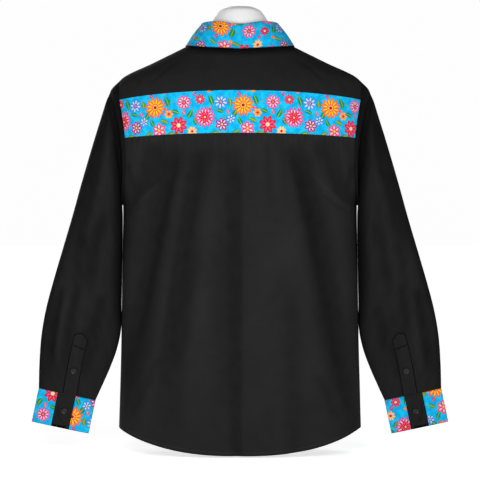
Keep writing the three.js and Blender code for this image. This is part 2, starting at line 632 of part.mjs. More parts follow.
function collarLeaf() {
  const last = LEAF_PROFILE.length - 1;
  const turns = [LEAF_START_TURN, ...NECK_TURNS, Math.PI - LEAF_START_TURN];
  const skin = steps(last, 0, last).map((step) =>
    turns.map((turn) => {
      const along = leafPoint(turn + 0.02, step).sub(leafPoint(turn - 0.02, step));
      const down = leafPoint(turn, Math.min(step + 0.2, last)).sub(leafPoint(turn, Math.max(step - 0.2, 0)));
      const normal = step === 0 ? outward(turn).negate() : down.cross(along).normalize();
      return { point: leafPoint(turn, step), normal };
    }));
  return clothWall("collar_leaf", floralCotton, skin, WALL);
}

// ---- The sleeves -----------------------------------------------------------------------------

// A point of one cut of the sleeve, by the same turn as the armhole.
function sleeveCut(cut, turn) {
  const power = 2 / SLEEVE_SQUARENESS;
  const along = (1 - signedPower(Math.cos(turn), power)) / 2;
  const depth = Math.sin(turn) > 0 ? cut.back : cut.front;
  const bow = cut.bow * Math.sin(Math.PI * along);
  return new THREE.Vector3(
    lerp(cut.lowX, cut.highX, along) - bow,
    depth * signedPower(Math.sin(turn), power),
    lerp(cut.lowZ, cut.highZ, along),
  );
}

// The armhole seam, moved a gap along the cloth from the body's edge.
function sleeveHead(turn) {
  const seamPoint = (at) => bodyPoint(armhole(at).angle, armhole(at).z);
  const { angle, z } = armhole(turn);
  const along = seamPoint(turn + 0.03).sub(seamPoint(turn - 0.03));
  const out = along.cross(bodySkin(angle, z).normal).normalize();
  const seam = seamPoint(turn);
  const middle = seamPoint(0).lerp(seamPoint(Math.PI), 0.5);
  if (out.dot(middle.sub(seam)) < 0) out.negate();
  return seam.addScaledVector(out, SEAM_GAP + HALF_GAP);
}

const sleeveKnot = (row, turn) => (row <= 0 ? sleeveHead(turn) : sleeveCut(SLEEVE[row - 1], turn));

// The left sleeve's outer skin, row 0 at the armhole to row SLEEVE.length at the cuff.
function sleevePoint(row, turn) {
  const last = SLEEVE.length;
  const i = clamp(Math.floor(row), 0, last - 1);
  const t = row - i;
  const [start, end] = [sleeveKnot(i, turn), sleeveKnot(i + 1, turn)];
  const before = i > 0 ? sleeveKnot(i - 1, turn) : start.clone().multiplyScalar(2).sub(end);
  const after = i < last - 1 ? sleeveKnot(i + 2, turn) : end.clone().multiplyScalar(2).sub(start);
  const startSlope = end.clone().sub(before).multiplyScalar(0.5);
  const endSlope = after.sub(start).multiplyScalar(0.5);
  return start.clone().multiplyScalar((1 + 2 * t) * (1 - t) ** 2)
    .addScaledVector(end, t * t * (3 - 2 * t))
    .addScaledVector(startSlope, t * (1 - t) ** 2)
    .addScaledVector(endSlope, -t * t * (1 - t));
}

function sleeveMiddle(row) {
  return sleevePoint(row, 0).add(sleevePoint(row, Math.PI)).multiplyScalar(0.5);
}

function sleeveSkin(row, turn) {
  const point = sleevePoint(row, turn);
  if (row === 0) {
    const { angle, z } = armhole(turn);
    return { point, normal: bodySkin(angle, z).normal };
  }
  return { point, normal: normalOf(sleevePoint, row, turn, 0.02, 0.02, -1) };
}

const SLEEVE_ROWS = [...steps(6, 0, 4), ...steps(SLEEVE.length - 4, 4, SLEEVE.length).slice(1)];
const SLEEVE_TURNS = [
  ...ARMHOLE_TURNS.back.slice(0, -1),
  ...ARMHOLE_TURNS.band.slice(0, -1),
  ...ARMHOLE_TURNS.yoke.slice(0, -1),
  ...ARMHOLE_TURNS.front.slice(0, -1),
];

const sleeve = () => SLEEVE_ROWS.map((row) => SLEEVE_TURNS.map((turn) => sleeveSkin(row, turn)));

// The sleeve's turn on its back face, at a distance from the middle of the cut.
function backTurn(row, offset) {
  const width = sleevePoint(row, 0).distanceTo(sleevePoint(row, Math.PI));
  return Math.acos(signedPower((-2 * offset) / width, SLEEVE_SQUARENESS / 2));
}

const TOWER_LIFT = LIE_GAP + TRIM_WALL;

// The sleeve placket: a strip with a pointed end, lying on the back of the sleeve.
function tower() {
  const last = SLEEVE.length - 0.02;
  const rowLength = sleeveMiddle(TOWER_START_ROW).distanceTo(sleeveMiddle(TOWER_START_ROW + 1));
  const pointRows = TOWER_POINT / rowLength;
  return steps(6).map((share) =>
    steps(4, -0.5, 0.5).map((side) => {
      const tip = TOWER_START_ROW + pointRows * Math.abs(side) * 2;
      const row = lerp(tip, last, share);
      return sleeveSkin(row, backTurn(row, TOWER_OFFSET + side * TOWER_WIDTH));
    }));
}

// ---- The cuffs -------------------------------------------------------------------------------

const cuffAcross = new THREE.Vector3(CUFF.highX - CUFF.lowX, 0, CUFF.highZ - CUFF.lowZ);
const cuffDown = new THREE.Vector3(cuffAcross.z, 0, -cuffAcross.x).normalize();

// The left cuff's outer skin: a flattened ring. drop is the distance below its upper edge.
function cuffPoint(drop, turn) {
  const power = 2 / CUFF_SQUARENESS;
  const along = (1 - signedPower(Math.cos(turn), power)) / 2;
  const point = new THREE.Vector3(CUFF.lowX, 0, CUFF.lowZ).addScaledVector(cuffAcross, along);
  point.y = CUFF.halfDepth * signedPower(Math.sin(turn), power);
  return point.addScaledVector(cuffDown, drop);
}

function cuffSkin(drop, turn) {
  return { point: cuffPoint(drop, turn), normal: normalOf(cuffPoint, drop, turn, 1, 0.03, -1) };
}

function cuffBackTurn(offset) {
  return Math.acos(signedPower((-2 * offset) / cuffAcross.length(), CUFF_SQUARENESS / 2));
}

const cuff = () =>
  [0, CUFF.height].map((drop) =>
    steps(CUFF_TURNS, 0, 2 * Math.PI).slice(0, -1).map((turn) => cuffSkin(drop, turn)));

const cuffStrip = () =>
  [1, CUFF.height - 0.5].map((drop) =>
    steps(4, -CUFF_STRIP_WIDTH / 2, CUFF_STRIP_WIDTH / 2).map((offset) =>
      cuffSkin(drop, cuffBackTurn(offset))));

// ---- Buttons ---------------------------------------------------------------------------------

// A shirt button: a disc with a raised rim and a dished middle, its back on z = 0.
function buttonMesh(name, { point, normal }, lift) {
  const { radius, thickness, dish, rim, sides } = BUTTON;
  const profile = [
    [0, 0],
    [radius - 0.8, 0],
    [radius, 1],
    [radius - 0.3, thickness - 0.3],
    [radius - 1, thickness],
    [radius - 1 - rim, thickness - dish],
    [0, thickness - dish],
  ].map(([r, h]) => new THREE.Vector2(r, h));
  const geometry = new THREE.LatheGeometry(profile, sides).rotateX(Math.PI / 2);
  const mesh = new THREE.Mesh(geometry, blackButton);
  mesh.name = name;
  mesh.position.copy(point).addScaledVector(normal, lift + SEAM_GAP);
  mesh.quaternion.setFromUnitVectors(UP, normal);
  return mesh;
}

function frontButtons() {
  const neckZ = neckline(-Math.PI / 2).z;
  const buttons = steps(FRONT_BUTTONS - 1, 0, FRONT_BUTTONS - 1).map((i) => {
    const z = neckZ - FRONT_BUTTON_TOP_DROP - FRONT_BUTTON_STEP * i;
    return buttonMesh(`button_front_${i + 1}`, frontSkinAt(0, z), PLACKET_LIFT);
  });
  const [turn, climb] = [-Math.PI / 2, 0.5];
  const normal = normalOf(standPoint, turn, climb, 0.05, 0.1, 1);
  const onStand = { point: standPoint(turn, climb), normal };
  return [...buttons, buttonMesh("button_stand", onStand, STAND_BUTTON_LIFT)];
}

// ---- The torso form --------------------------------------------------------------------------

function torsoForm() {
  const section = smoothTable(FORM, "z");
  const levels = FORM.flatMap(({ z }, i) => {
    const below = i ? FORM[i - 1].z : z;
    return z - below > FORM_LONGEST_STEP ? [(z + below) / 2, z] : [z];
  });
  const turns = steps(FORM_TURNS, 0, 2 * Math.PI).slice(0, -1);
  const points = levels.flatMap((z) => turns.map((angle) => sectionPoint(section(z), angle, z)));
  const faces = [];
  for (let level = 0; level < levels.length - 1; level += 1) {
    for (let i = 0; i < FORM_TURNS; i += 1) {
      const next = (i + 1) % FORM_TURNS;
      const base = level * FORM_TURNS;
      faces.push([base + i, base + next, base + FORM_TURNS + next, base + FORM_TURNS + i]);
    }
  }
  const top = (levels.length - 1) * FORM_TURNS;
  for (let i = 1; i < FORM_TURNS - 1; i += 1) {
    faces.push([0, i + 1, i], [top, top + i, top + i + 1]);
  }
  return meshFrom("torso_form", paleForm, points, faces);
}

// ---- The whole part --------------------------------------------------------------------------

// One arm's pieces. flip turns a skin of the left arm into the other arm's.
function arm(side, flip) {
  const towerButton = flip([[sleeveSkin(TOWER_BUTTON_ROW, backTurn(TOWER_BUTTON_ROW, TOWER_OFFSET))]])[0][0];
  const cuffButton = flip([[cuffSkin(CUFF.height / 2, cuffBackTurn(CUFF_BUTTON_OFFSET))]])[0][0];
  return [
    clothWall(`sleeve_${side}`, blackCotton, flip(sleeve()), WALL, true),
    clothWall(`sleeve_placket_${side}`, blackCotton, lifted(flip(tower()), TOWER_LIFT), TRIM_WALL),
    clothWall(`cuff_${side}`, floralCotton, flip(cuff()), WALL, true),
    clothWall(`cuff_strip_${side}`, blackCotton, lifted(flip(cuffStrip()), TOWER_LIFT), TRIM_WALL),
    buttonMesh(`button_placket_${side}`, towerButton, TOWER_LIFT),
    buttonMesh(`button_cuff_${side}`, cuffButton, TOWER_LIFT),
  ];
}

const shirt = new THREE.Group();
shirt.add(
  torsoForm(),
  backPanel(),
  yokeBand(),
  yoke(),
  ...fronts(),
  frontPlacket(),
  ...frontButtons(),
  collarStand(),
  collarLeaf(),
  ...arm("left", (skin) => skin),
  ...arm("right", mirrored),
);

export default shirt;
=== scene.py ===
"""A ribbon shirt on a limbless torso form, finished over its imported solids.

Sizes are in millimetres until a mesh is made. +Z is up, the shirt's back faces +Y and the wearer's
left side is +X. Each piece of cloth is a thin shell: a skin, and the same skin moved inwards.
"""
import math

import bpy
import numpy as np
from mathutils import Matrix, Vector


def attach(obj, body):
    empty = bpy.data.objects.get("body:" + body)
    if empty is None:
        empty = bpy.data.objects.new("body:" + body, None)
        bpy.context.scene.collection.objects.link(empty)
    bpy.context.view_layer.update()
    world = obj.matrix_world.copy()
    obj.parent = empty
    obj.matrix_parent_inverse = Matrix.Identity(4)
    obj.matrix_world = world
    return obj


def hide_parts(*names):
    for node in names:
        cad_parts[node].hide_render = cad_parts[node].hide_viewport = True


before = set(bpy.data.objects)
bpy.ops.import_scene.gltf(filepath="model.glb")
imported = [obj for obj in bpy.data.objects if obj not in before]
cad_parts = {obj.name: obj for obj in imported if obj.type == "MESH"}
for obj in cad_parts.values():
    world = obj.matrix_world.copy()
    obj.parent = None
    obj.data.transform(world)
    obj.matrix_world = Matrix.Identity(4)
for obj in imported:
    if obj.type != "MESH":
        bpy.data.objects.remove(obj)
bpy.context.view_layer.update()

MM = 0.001

# ---- Driving dimensions ----

CLOTH = 1.3
TRIM = 1.0  # plackets and cuff strips
SEAM_GAP = 0.3
TRIM_LIFT = 1.7  # how far a strip's outer face stands over the cloth that it lies on

SIDE_HEM_Z = 49.5
BACK_HEM_Z = 3.1
FRONT_HEM_Z = 14
HEM_HALF_WIDTH = 233.2
HEM_CURVE = 2.5
HEM_FOLD = 6.5  # from the hem's edge to its line of stitches
EDGE_FOLD = 5  # the same on the collar and the cuffs
STRIP_FOLD = 2.5  # and on the strips

UNDERARM_Z = 476.5
SHOULDER_Z = 720.5
ARMHOLE_BACK = 52
ARMHOLE_FRONT = 46
ARMHOLE_FLATNESS = 0.9

BAND_TOP_Z = 691
BAND_BOTTOM_Z = 610.5
BAND_TOP_DROP = 12.8
BAND_BOTTOM_DROP = 6.8
BAND_HALF_WIDTH = 220
FRONT_YOKE_TURN = math.radians(35)
BACK_NECK_TURN = math.radians(30)

NECK = {"half": 78, "back": 65, "front": 75}
STAND_TOP = {"half": 70.5, "back": 60, "front": 66}
STAND_HEIGHT = 28
STAND_BACK_RISE = 3.6
STAND_OVERLAP = math.radians(10)
STAND_LIFT = 2.1  # how far its overlapping end stands out, past these turns
STAND_LIFT_TURNS = (math.radians(50), math.radians(76))
STAND_GAP = 0.4
LEAF_START = math.radians(-84)

PLACKET_HALF_WIDTH = 16
PLACKET_DROP = 1.2  # from the neckline to the placket's top
UNDER_FRONT_REACH = 13
FRONT_BUTTONS = 7
FRONT_BUTTON_TOP_DROP = 70
FRONT_BUTTON_STEP = 88

CUFF_HIGH_EDGE = (388.3, 123.6)
CUFF_LOW_EDGE = (278.5, 100.4)
CUFF_HEIGHT = 65.6
CUFF_HALF_DEPTH = 8
CUFF_SQUARENESS = 2.8
CUFF_STRIP_WIDTH = 35
CUFF_BUTTON_OFFSET = -2.0
TAB_TURN = 24  # how far down the strip the tab that ends the cuff starts to curve
TAB_END = 61
TOWER_WIDTH = 27.8
TOWER_OFFSET = -5.5
TOWER_START_ROW = 11.1
TOWER_POINT = 9
TOWER_BUTTON_ROW = 12.78
TOWER_BAR_ROW = 11.72  # the bar of stitches across it
TOWER_ROW_LENGTH = 38

BUTTON_RADIUS = 5.75
BUTTON_THICKNESS = 2.8


# ---- Tables ----

def table(names, *rows):
    """Rows of numbers under named columns, as one array for each column."""
    return dict(zip(names.split(), np.array(rows, float).T))


BODY = table(
    "z half back front square",
    (0, 235, 110, 106, 2.3), (49.5, 233.2, 110, 106, 2.3), (220, 228.6, 111, 105, 2.3),
    (410, 225.5, 111, 105, 2.35), (476.5, 225, 110.5, 106.5, 2.4), (520, 228.5, 110, 108.5, 2.4),
    (573, 233.5, 109.5, 109.5, 2.4), (607, 237, 109, 108, 2.4), (650, 240, 108, 105, 2.4),
    (691, 238.5, 105, 99, 2.4), (720.5, 226.4, 96, 88, 2.35), (750, 166.8, 82, 72, 2.3),
    (774, 118.4, 70.5, 60, 2.25), (784, 98.2, 65, 55, 2.2), (794, 78, 60, 50, 2.1),
    (806, 54, 54, 44, 2.05),
)

SLEEVE = table(
    "low_x low_z high_x high_z back front bow",
    (227.8, 476, 246, 702, 49, 43, 11), (227.6, 474.5, 252, 690, 30, 27, 8),
    (227.3, 472, 258, 676, 46, 41, 3), (226.9, 468, 266, 650, 54, 48, 0),
    (226.3, 455, 277, 615, 56, 50, 0), (226.2, 435, 288.5, 577, 56, 50, 0),
    (226.5, 395, 306, 517, 55, 49, 0), (227.3, 345, 324, 452, 52, 47, 0),
    (228.4, 290, 343, 388, 47, 43, 0), (229.1, 240, 360, 330, 41, 38, 0),
    (237, 200, 374, 277, 34, 32, 0), (250.5, 163, 383, 226, 26, 25, 0),
    (265, 130, 387, 172, 17, 17, 0), (278.5, 100.7, 388.3, 123.9, 8, 8, 0),
)
SLEEVE_SQUARENESS = 2.3
SLEEVE_LAST = 14
INNER_SHADE_REACH = 13  # how far the painted shade beside the body reaches, from the sleeve's inner edge
INNER_SHADE_END = (8.5, 10.5)  # the rows over which that painted shade ends, as the sleeve hangs clear
INNER_SHADE = 11  # how dark that painted shade is, as a depth of fold
OUTER_SHADE, OUTER_SHADE_REACH = 0.5, 9  # the same painted shade along its outer edge, as a share, and its reach
HEAD_CALM, CUFF_CALM = (0.6, 3), 1.2  # the rows over which the folds flatten at the sleeve's ends
EDGE_CALM = (0.1, 0.6)  # and beside its two creased edges
FRONT_SHARE = 0.7  # how deep the folds on its front are, beside those on its back
SLEEVE_SWELL = 0.9

FORM = table(
    "z half back front square",
    (0, 90, 58, 56, 2), (5, 94, 62, 60, 2), (70, 112, 72, 70, 2), (150, 152, 88, 85, 2.1),
    (230, 182, 96, 92, 2.2), (300, 188, 96, 92, 2.2), (400, 176, 91, 88, 2.2),
    (500, 192, 99, 97, 2.3), (580, 204, 102, 102, 2.3), (650, 210, 100, 97, 2.3),
    (700, 211, 95, 88, 2.3), (722, 203, 90, 82, 2.3), (735, 189.5, 84.3, 75, 2.3),
    (750, 160.8, 76.8, 66.9, 2.3), (774, 112.4, 65.3, 55, 2.25), (784, 91, 59.6, 50.3, 2.2),
    (792, 70, 55, 50, 2.1), (804, 61.5, 52, 50, 2), (826.5, 56, 49, 47, 2), (847.5, 43, 40, 39, 2),
    (853, 37, 35, 34, 2), (858, 25, 24, 23, 2),
)

LEAF_EDGE = table(
    "turn x y z",
    (-84, 60, -99, 700), (-60, 83, -86, 729), (-30, 99, -59, 762), (-15, 104, -31, 779),
    (0, 105.4, -4, 783.6), (30, 97, 38, 781), (60, 66, 65, 776.5), (90, 0, 78, 772),
)
LEAF_BACK_Z = 770
LEAF_SIDE_RISE = 10
LEAF_HALF_WIDTH = 100
LEAF_SHADE = 15  # how far below the leaf's edge its shade reaches
LEAF_SHADOW = 20  # how dark the painted shadow under the leaf is, as a depth of fold
LEAF_PROFILE = table(
    "step out up share",
    (0, -1.5, 0.8, 0), (1, -0.6, 3.6, 0), (2, 3, 4.3, 0), (3, 6.2, 0.5, 0.03), (4, 4.5, 1, 0.45),
    (5, 0, 0, 1),
)

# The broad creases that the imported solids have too: a trough from its top to its end, by x and z.
# bow is how far its middle lies to +X.
CREASE_COLUMNS = "top_x top_z end_x end_z bow reach depth"
BACK_CREASES = table(
    CREASE_COLUMNS,
    (167, 600, 218, 465, -12, 18, 3.5), (124, 606, 205, 150, 3, 23, 7),
    (72, 608, 132, 120, 6, 23, 5.5), (14, 609, 22, 110, 1, 28, 3.5),
    (-102, 607, -192, 130, -9, 23, 7), (-158, 604, -218, 475, 9, 18, 3.5),
)
FRONT_CREASES = table(
    CREASE_COLUMNS,
    (150, 640, 205, 170, 6, 23, 6), (88, 660, 120, 220, 4, 22, 5), (-96, 670, -128, 180, -5, 22, 5),
    (-148, 630, -208, 210, -8, 23, 6),
)

# Finer folds that lie on them. A negative depth is a ridge.
BACK_FOLDS = table(
    CREASE_COLUMNS,
    (11, 607, 7.5, -405, 0, 10, 3.6), (3, 600, 0, -300, 0, 4, 1.1), (74, 604, 168, 20, 2, 10, 2.9),
    (118, 596, 250, 20, 2, 11, 3.7), (-103, 590, -232, -60, -14, 12, 4),
    (-96, 330, -108, -120, 0, 17, 2.2), (-140, 165, -204, 36, -3, 10, 1.6),
    (146, 200, 212, 60, 4, 11, 1.9), (118, 556, 208, 470, -4, 8, -1.6),
    (-128, 545, -208, 470, 4, 8, -1.6), (-150, 500, -222, 455, 5, 7, 1.3),
    (214, 560, 200, 500, 4, 7, 1.9), (-214, 556, -202, 492, -4, 7, 1.8),
    (56, 607, 60, 520, 0, 5, 1.2), (37, 607, 36, 540, 0, 4, 1.2), (24, 607, 24, 540, 0, 3.5, 1),
    (-24, 607, -26, 520, 0, 5, 0.9), (-50, 607, -58, 470, 0, 6, 1.6),
    (-76, 607, -90, 440, -2, 8, 1.3), (150, 600, 162, 500, 0, 7, 1.7),
    (176, 600, 190, 520, 2, 6, 1.4), (-180, 600, -196, 520, -2, 6, 1.3),
    (-140, 604, -160, 520, -2, 6, 1.2), (122, 748, 170, 700, 4, 6, 1.3),
    (-116, 750, -162, 702, -4, 6, 1.3), (60, 768, 72, 700, 0, 8, 0.9),
    (-68, 768, -86, 700, 0, 8, 0.9), (186, 722, 206, 690, 0, 5, 1), (-184, 722, -204, 690, 0, 5, 1),
)
FRONT_FOLDS = table(
    CREASE_COLUMNS,
    (120, 640, 168, 400, 4, 9, 1.4), (60, 640, 76, 430, 2, 9, 1.1), (178, 420, 198, 190, 3, 9, 1.3),
    (-124, 650, -162, 420, -3, 9, 1.4), (-62, 640, -70, 450, 0, 10, 1.1),
    (-150, 320, -190, 120, -4, 9, 1.3), (108, 250, 120, 70, 2, 11, 1.1),
    (-100, 240, -122, 90, -2, 11, 1),
)
LEFT_SLEEVE_FOLDS = table(
    CREASE_COLUMNS,
    (338, 330, 369, 138, 7, 10, 4.6), (310, 330, 338, 146, 4, 10, 3.8),
    (326, 310, 354, 150, 5, 7, -2), (259, 668, 282, 440, 4, 10, 3.4),
    (284, 570, 318, 360, -3, 12, 2.8), (258, 470, 296, 290, 5, 13, 3.2),
    (300, 430, 330, 270, -4, 12, 2.6), (258, 310, 288, 180, 4, 11, 2.8),
    (292, 250, 305, 128, 0, 8, 2.6), (272, 214, 296, 132, 6, 9, 2.2),
    (268, 520, 288, 400, 2, 10, -1.6),
)
RIGHT_SLEEVE_FOLDS = table(
    CREASE_COLUMNS,
    (336, 326, 367, 134, 5, 10, 4.3), (306, 330, 324, 220, 2, 10, 3.4),
    (322, 280, 348, 148, 4, 7, -1.8), (256, 655, 280, 470, 3, 10, 3),
    (280, 555, 310, 380, 2, 13, 2.7), (254, 450, 288, 290, 4, 12, 3),
    (302, 410, 330, 280, -3, 11, 2.6), (256, 290, 278, 176, 3, 11, 2.6),
    (294, 210, 307, 126, 0, 8, 2.5), (268, 540, 292, 420, -2, 10, -1.5),
)

PUCKER_LENGTH = 11  # along a gathered seam
PUCKER_REACH = 16  # how far a pucker runs from its seam
PUCKER_HEIGHT = 0.85
RUN_ON = 1.3  # the broad creases run on to this many times their length in the solids
DEEPER = 0.35  # how much deeper the broad creases are here, low on the body, than in the solids
FADE_IN, FADE_OUT = 0.12, 0.6  # the share of its length where a crease is full, and where it wanes
BROAD_RIDGE = 0.1  # of a broad crease's depth that stands up beside it
RIDGE_SHARE = 0.16  # the same for a finer fold
RIDGE_AWAY, RIDGE_CLOSENESS = 1.8, 1.6  # where the ridge lies, in the crease's own reaches
DEEP_FOLD = 5  # a trough this deep is nearly as darkly shaded as any, and a ridge this high nearly as light
SHADE_FROM, SHADE_STEP = 11, 0.1  # relief this far down or more gets more painted shade, darker by the millimetre
UNSTITCHED = 9.0  # a distance from any stitched edge, in insets, that no mark reaches

BODY_SWELL = 0.7
CALM = (560, 660)  # the heights between which the body's swells die away
SEAM_FLAT = (2, 28)  # how far from the side seams the cloth lies flat
SIDE_PUFF = 0.45  # how far the side seams fill out beside the sleeves
PUFF_REACH = 12
PUFF_STARTS, PUFF_ENDS = (215, 250), (520, 560)

# ---- Helpers ----


def lerp(a, b, t):
    return a + (b - a) * t


def smoothstep(x, low, high):
    t = np.clip((np.asarray(x, float) - low) / (high - low), 0, 1)
    return t * t * (3 - 2 * t)


def signed_power(value, power):
    return np.sign(value) * np.abs(value) ** power


def unit(vectors):
    return vectors / np.maximum(np.linalg.norm(vectors, axis=-1, keepdims=True), 1e-9)


def hermite(start, end, start_slope, end_slope, t):
    """A smooth curve between two values, from their slopes over the whole span."""
    return (start * (1 + 2 * t) * (1 - t) ** 2 + end * t * t * (3 - 2 * t)
            + start_slope * t * (1 - t) ** 2 - end_slope * t * t * (1 - t))


def read(columns, key, at):
    """A smooth reading of a table's other columns at any values of its key column."""
    keys = columns[key]
    at = np.clip(np.asarray(at, float), keys[0], keys[-1])
    i = np.clip(np.searchsorted(keys, at, side="right") - 1, 0, len(keys) - 2)
    before = np.maximum(i - 1, 0)
    after = np.minimum(i + 2, len(keys) - 1)
    span = keys[i + 1] - keys[i]
    t = (at - keys[i]) / span
    found = {}
    for name, c in columns.items():
        if name == key:
            continue
        start_slope = (c[i + 1] - c[before]) / (keys[i + 1] - keys[before])
        end_slope = (c[after] - c[i]) / (keys[after] - keys[i])
        found[name] = hermite(c[i], c[i + 1], span * start_slope, span * end_slope, t)
    return found


def half_depth(shape, towards_back):
    return np.where(towards_back > 0, shape["back"], shape["front"])


def section_point(section, angle, z):
    power = 2 / section["square"]
    x = section["half"] * signed_power(np.cos(angle), power)
    y = half_depth(section, np.sin(angle)) * signed_power(np.sin(angle), power)
    return np.stack(np.broadcast_arrays(x, y, z), axis=-1)


def normal_of(surface, a, b, step_a, step_b, facing):
    along_a = surface(a + step_a, b) - surface(a - step_a, b)
    along_b = surface(a, b + step_b) - surface(a, b - step_b)
    return unit(np.cross(along_a, along_b)) * facing


def crease_depth(creases, x, z, ridge, last=1.0):
    """How deep a table's creases are. Each fades in at its top and out towards last, in lengths."""
    depth = np.zeros(np.broadcast(x, z).shape)
    for top_x, top_z, end_x, end_z, bow, reach, deep in zip(*creases.values()):
        t = np.clip((top_z - z) / (top_z - end_z), 0, last)
        middle = lerp(top_x, end_x, t) + bow * 4 * t * (1 - t)
        fade = smoothstep(t, 0, FADE_IN) * (1 - smoothstep(t, FADE_OUT, last))
        away = (x - middle) / reach
        trough = np.exp(-(away ** 2))
        beside = ridge * np.exp(-((np.abs(away) - RIDGE_AWAY) ** 2) * RIDGE_CLOSENESS)
        depth += deep * fade * (trough - beside)
    return depth


def unevenness(seed, x, z, height):
    """Soft swells 60 to 150 mm long, the same each run."""
    draw = np.random.default_rng(seed)
    total = np.zeros(np.broadcast(x, z).shape)
    for _ in range(9):
        length = draw.uniform(60, 150)
        heading = draw.uniform(0, math.pi)
        phase = draw.uniform(0, 2 * math.pi)
        along = x * math.cos(heading) + z * math.sin(heading) * 0.6
        total += np.sin(2 * math.pi * along / length + phase)
    return height * total / 3


def puckers(along, away):
    """Small gathers beside a seam, by the place along it and the distance from it."""
    wander = 2 * np.sin(along / 31) + 1.3 * np.sin(along / 13 + 1)
    wave = np.sin(2 * math.pi * along / PUCKER_LENGTH + wander)
    return PUCKER_HEIGHT * wave * np.exp(-np.maximum(away, 0) / PUCKER_REACH)


# ---- Making meshes ----

made = {}


def placed(name, data):
    """A new object in the scene."""
    thing = bpy.data.objects.new(name, data)
    bpy.context.collection.objects.link(thing)
    return thing


def mesh_object(name, points, faces, material, corner_data):
    """An object from points in millimetres and four-cornered faces, turned to face outwards."""
    faces = np.asarray(faces)
    p = [points[faces[:, i]] for i in range(4)]
    volume = np.sum(p[0] * np.cross(p[1], p[2])) + np.sum(p[0] * np.cross(p[2], p[3]))
    if volume < 0:
        faces = faces[:, ::-1]
        corner_data = {key: value[:, ::-1] for key, value in corner_data.items()}
    mesh = bpy.data.meshes.new(name)
    mesh.from_pydata((points * MM).tolist(), [], faces.tolist())
    mesh.polygons.foreach_set("use_smooth", np.ones(len(faces), bool))
    for key, value in corner_data.items():
        kind = "FLOAT_VECTOR" if value.ndim == 3 else "FLOAT"
        field = "vector" if value.ndim == 3 else "value"
        attribute = mesh.attributes.new(key, kind, "CORNER")
        attribute.data.foreach_set(field, np.ascontiguousarray(value, np.float32).ravel())
    mesh.update()
    mesh.set_sharp_from_angle(angle=math.radians(48))
    mesh.materials.append(material)
    made[name] = placed(name, mesh)


def path_lengths(points, axis):
    steps = np.linalg.norm(np.diff(points, axis=axis), axis=-1)
    start = np.zeros_like(np.take(steps, [0], axis=axis))
    return np.concatenate([start, np.cumsum(steps, axis=axis)], axis=axis)


def shell(name, skin, material, thickness=CLOTH, closed=False, stitched="", inset=EDGE_FOLD,
          cut_at=(0, 0), piece_shade=0.0):
    """A cloth shell from a grid of skin points, normals and relief.

    stitched names the grid edges that carry a line of stitches: low, high, left and right.
    cut_at is where on the printed cloth the piece was cut. The last argument darkens the whole
    piece with painted shade.
    """
    points, normals, relief = skin
    rows, columns = points.shape[:2]
    round_trip = np.concatenate([points, points[:, :1]], axis=1) if closed else points
    relief_round = np.concatenate([relief, relief[:, :1]], axis=1) if closed else relief
    u = path_lengths(round_trip, 1)
    v = path_lengths(round_trip, 0)
    edges = {"low": (v, u), "high": (v[-1:] - v, u), "left": (u, v), "right": (u[:, -1:] - u, v)}
    distance, along = np.full_like(u, UNSTITCHED * inset), u
    for edge in stitched.split():
        edge_distance, edge_along = edges[edge]
        along = np.where(edge_distance < distance, edge_along, along)
        distance = np.minimum(distance, edge_distance)
    middle = u[:, u.shape[1] // 2][:, None]
    cloth = np.stack([u - middle + cut_at[0], v + cut_at[1], np.zeros_like(u)], axis=-1)
    edge = np.stack([distance / inset, along, distance], axis=-1)

    bands = columns if closed else columns - 1
    r, c = np.meshgrid(np.arange(rows - 1), np.arange(bands), indexing="ij")
    r, c = r.ravel(), c.ravel()
    outer = np.stack([np.stack([r, c], 1), np.stack([r, c + 1], 1), np.stack([r + 1, c + 1], 1),
                      np.stack([r + 1, c], 1)], axis=1)
    across, down = np.arange(bands), np.arange(rows - 1)
    top, left, bottom, right = 0 * across, 0 * down, 0 * across + rows - 1, 0 * down + columns - 1
    rims = [[(top, across + 1), (top, across)], [(bottom, across), (bottom, across + 1)]]
    if not closed:
        rims += [[(down, left), (down + 1, left)], [(down + 1, right), (down, right)]]
    places = [outer, outer[:, ::-1]]
    layers = [np.zeros(outer.shape[:2], int), np.ones(outer.shape[:2], int)]
    for start, end in rims:
        a, b = np.stack(start, 1), np.stack(end, 1)
        places.append(np.stack([a, b, b, a], axis=1))
        layers.append(np.tile([0, 0, 1, 1], (len(a), 1)))
    places = np.concatenate(places)
    layers = np.concatenate(layers)
    row, column = places[..., 0], places[..., 1]
    faces = row * columns + column % columns + layers * rows * columns
    every = np.concatenate([points.reshape(-1, 3), (points - normals * thickness).reshape(-1, 3)])
    # fold is painted shade in troughs and lighter ridges, partly painted light and partly rubbing;
    # the deepest relief gets more painted shade
    deep_shade = np.minimum(relief_round + SHADE_FROM, 0) * SHADE_STEP
    fold = np.tanh(relief_round / DEEP_FOLD) + deep_shade - piece_shade
    fields = {"cloth": cloth, "edge": edge, "fold": fold}
    mesh_object(name, every, faces, material, {key: f[row, column] for key, f in fields.items()})


def lifted(skin, height):
    points, normals, relief = skin
    return points + normals * height, normals, relief


def mirrored(skin):
    flip = np.array([-1, 1, 1])
    points, normals, relief = skin
    return points * flip, normals * flip, relief


# ---- The shirt body ----


def body_point(angle, z):
    return section_point(read(BODY, "z", z), angle, z)


def body_normal(angle, z):
    return normal_of(body_point, angle, z, 0.01, 0.5, 1)


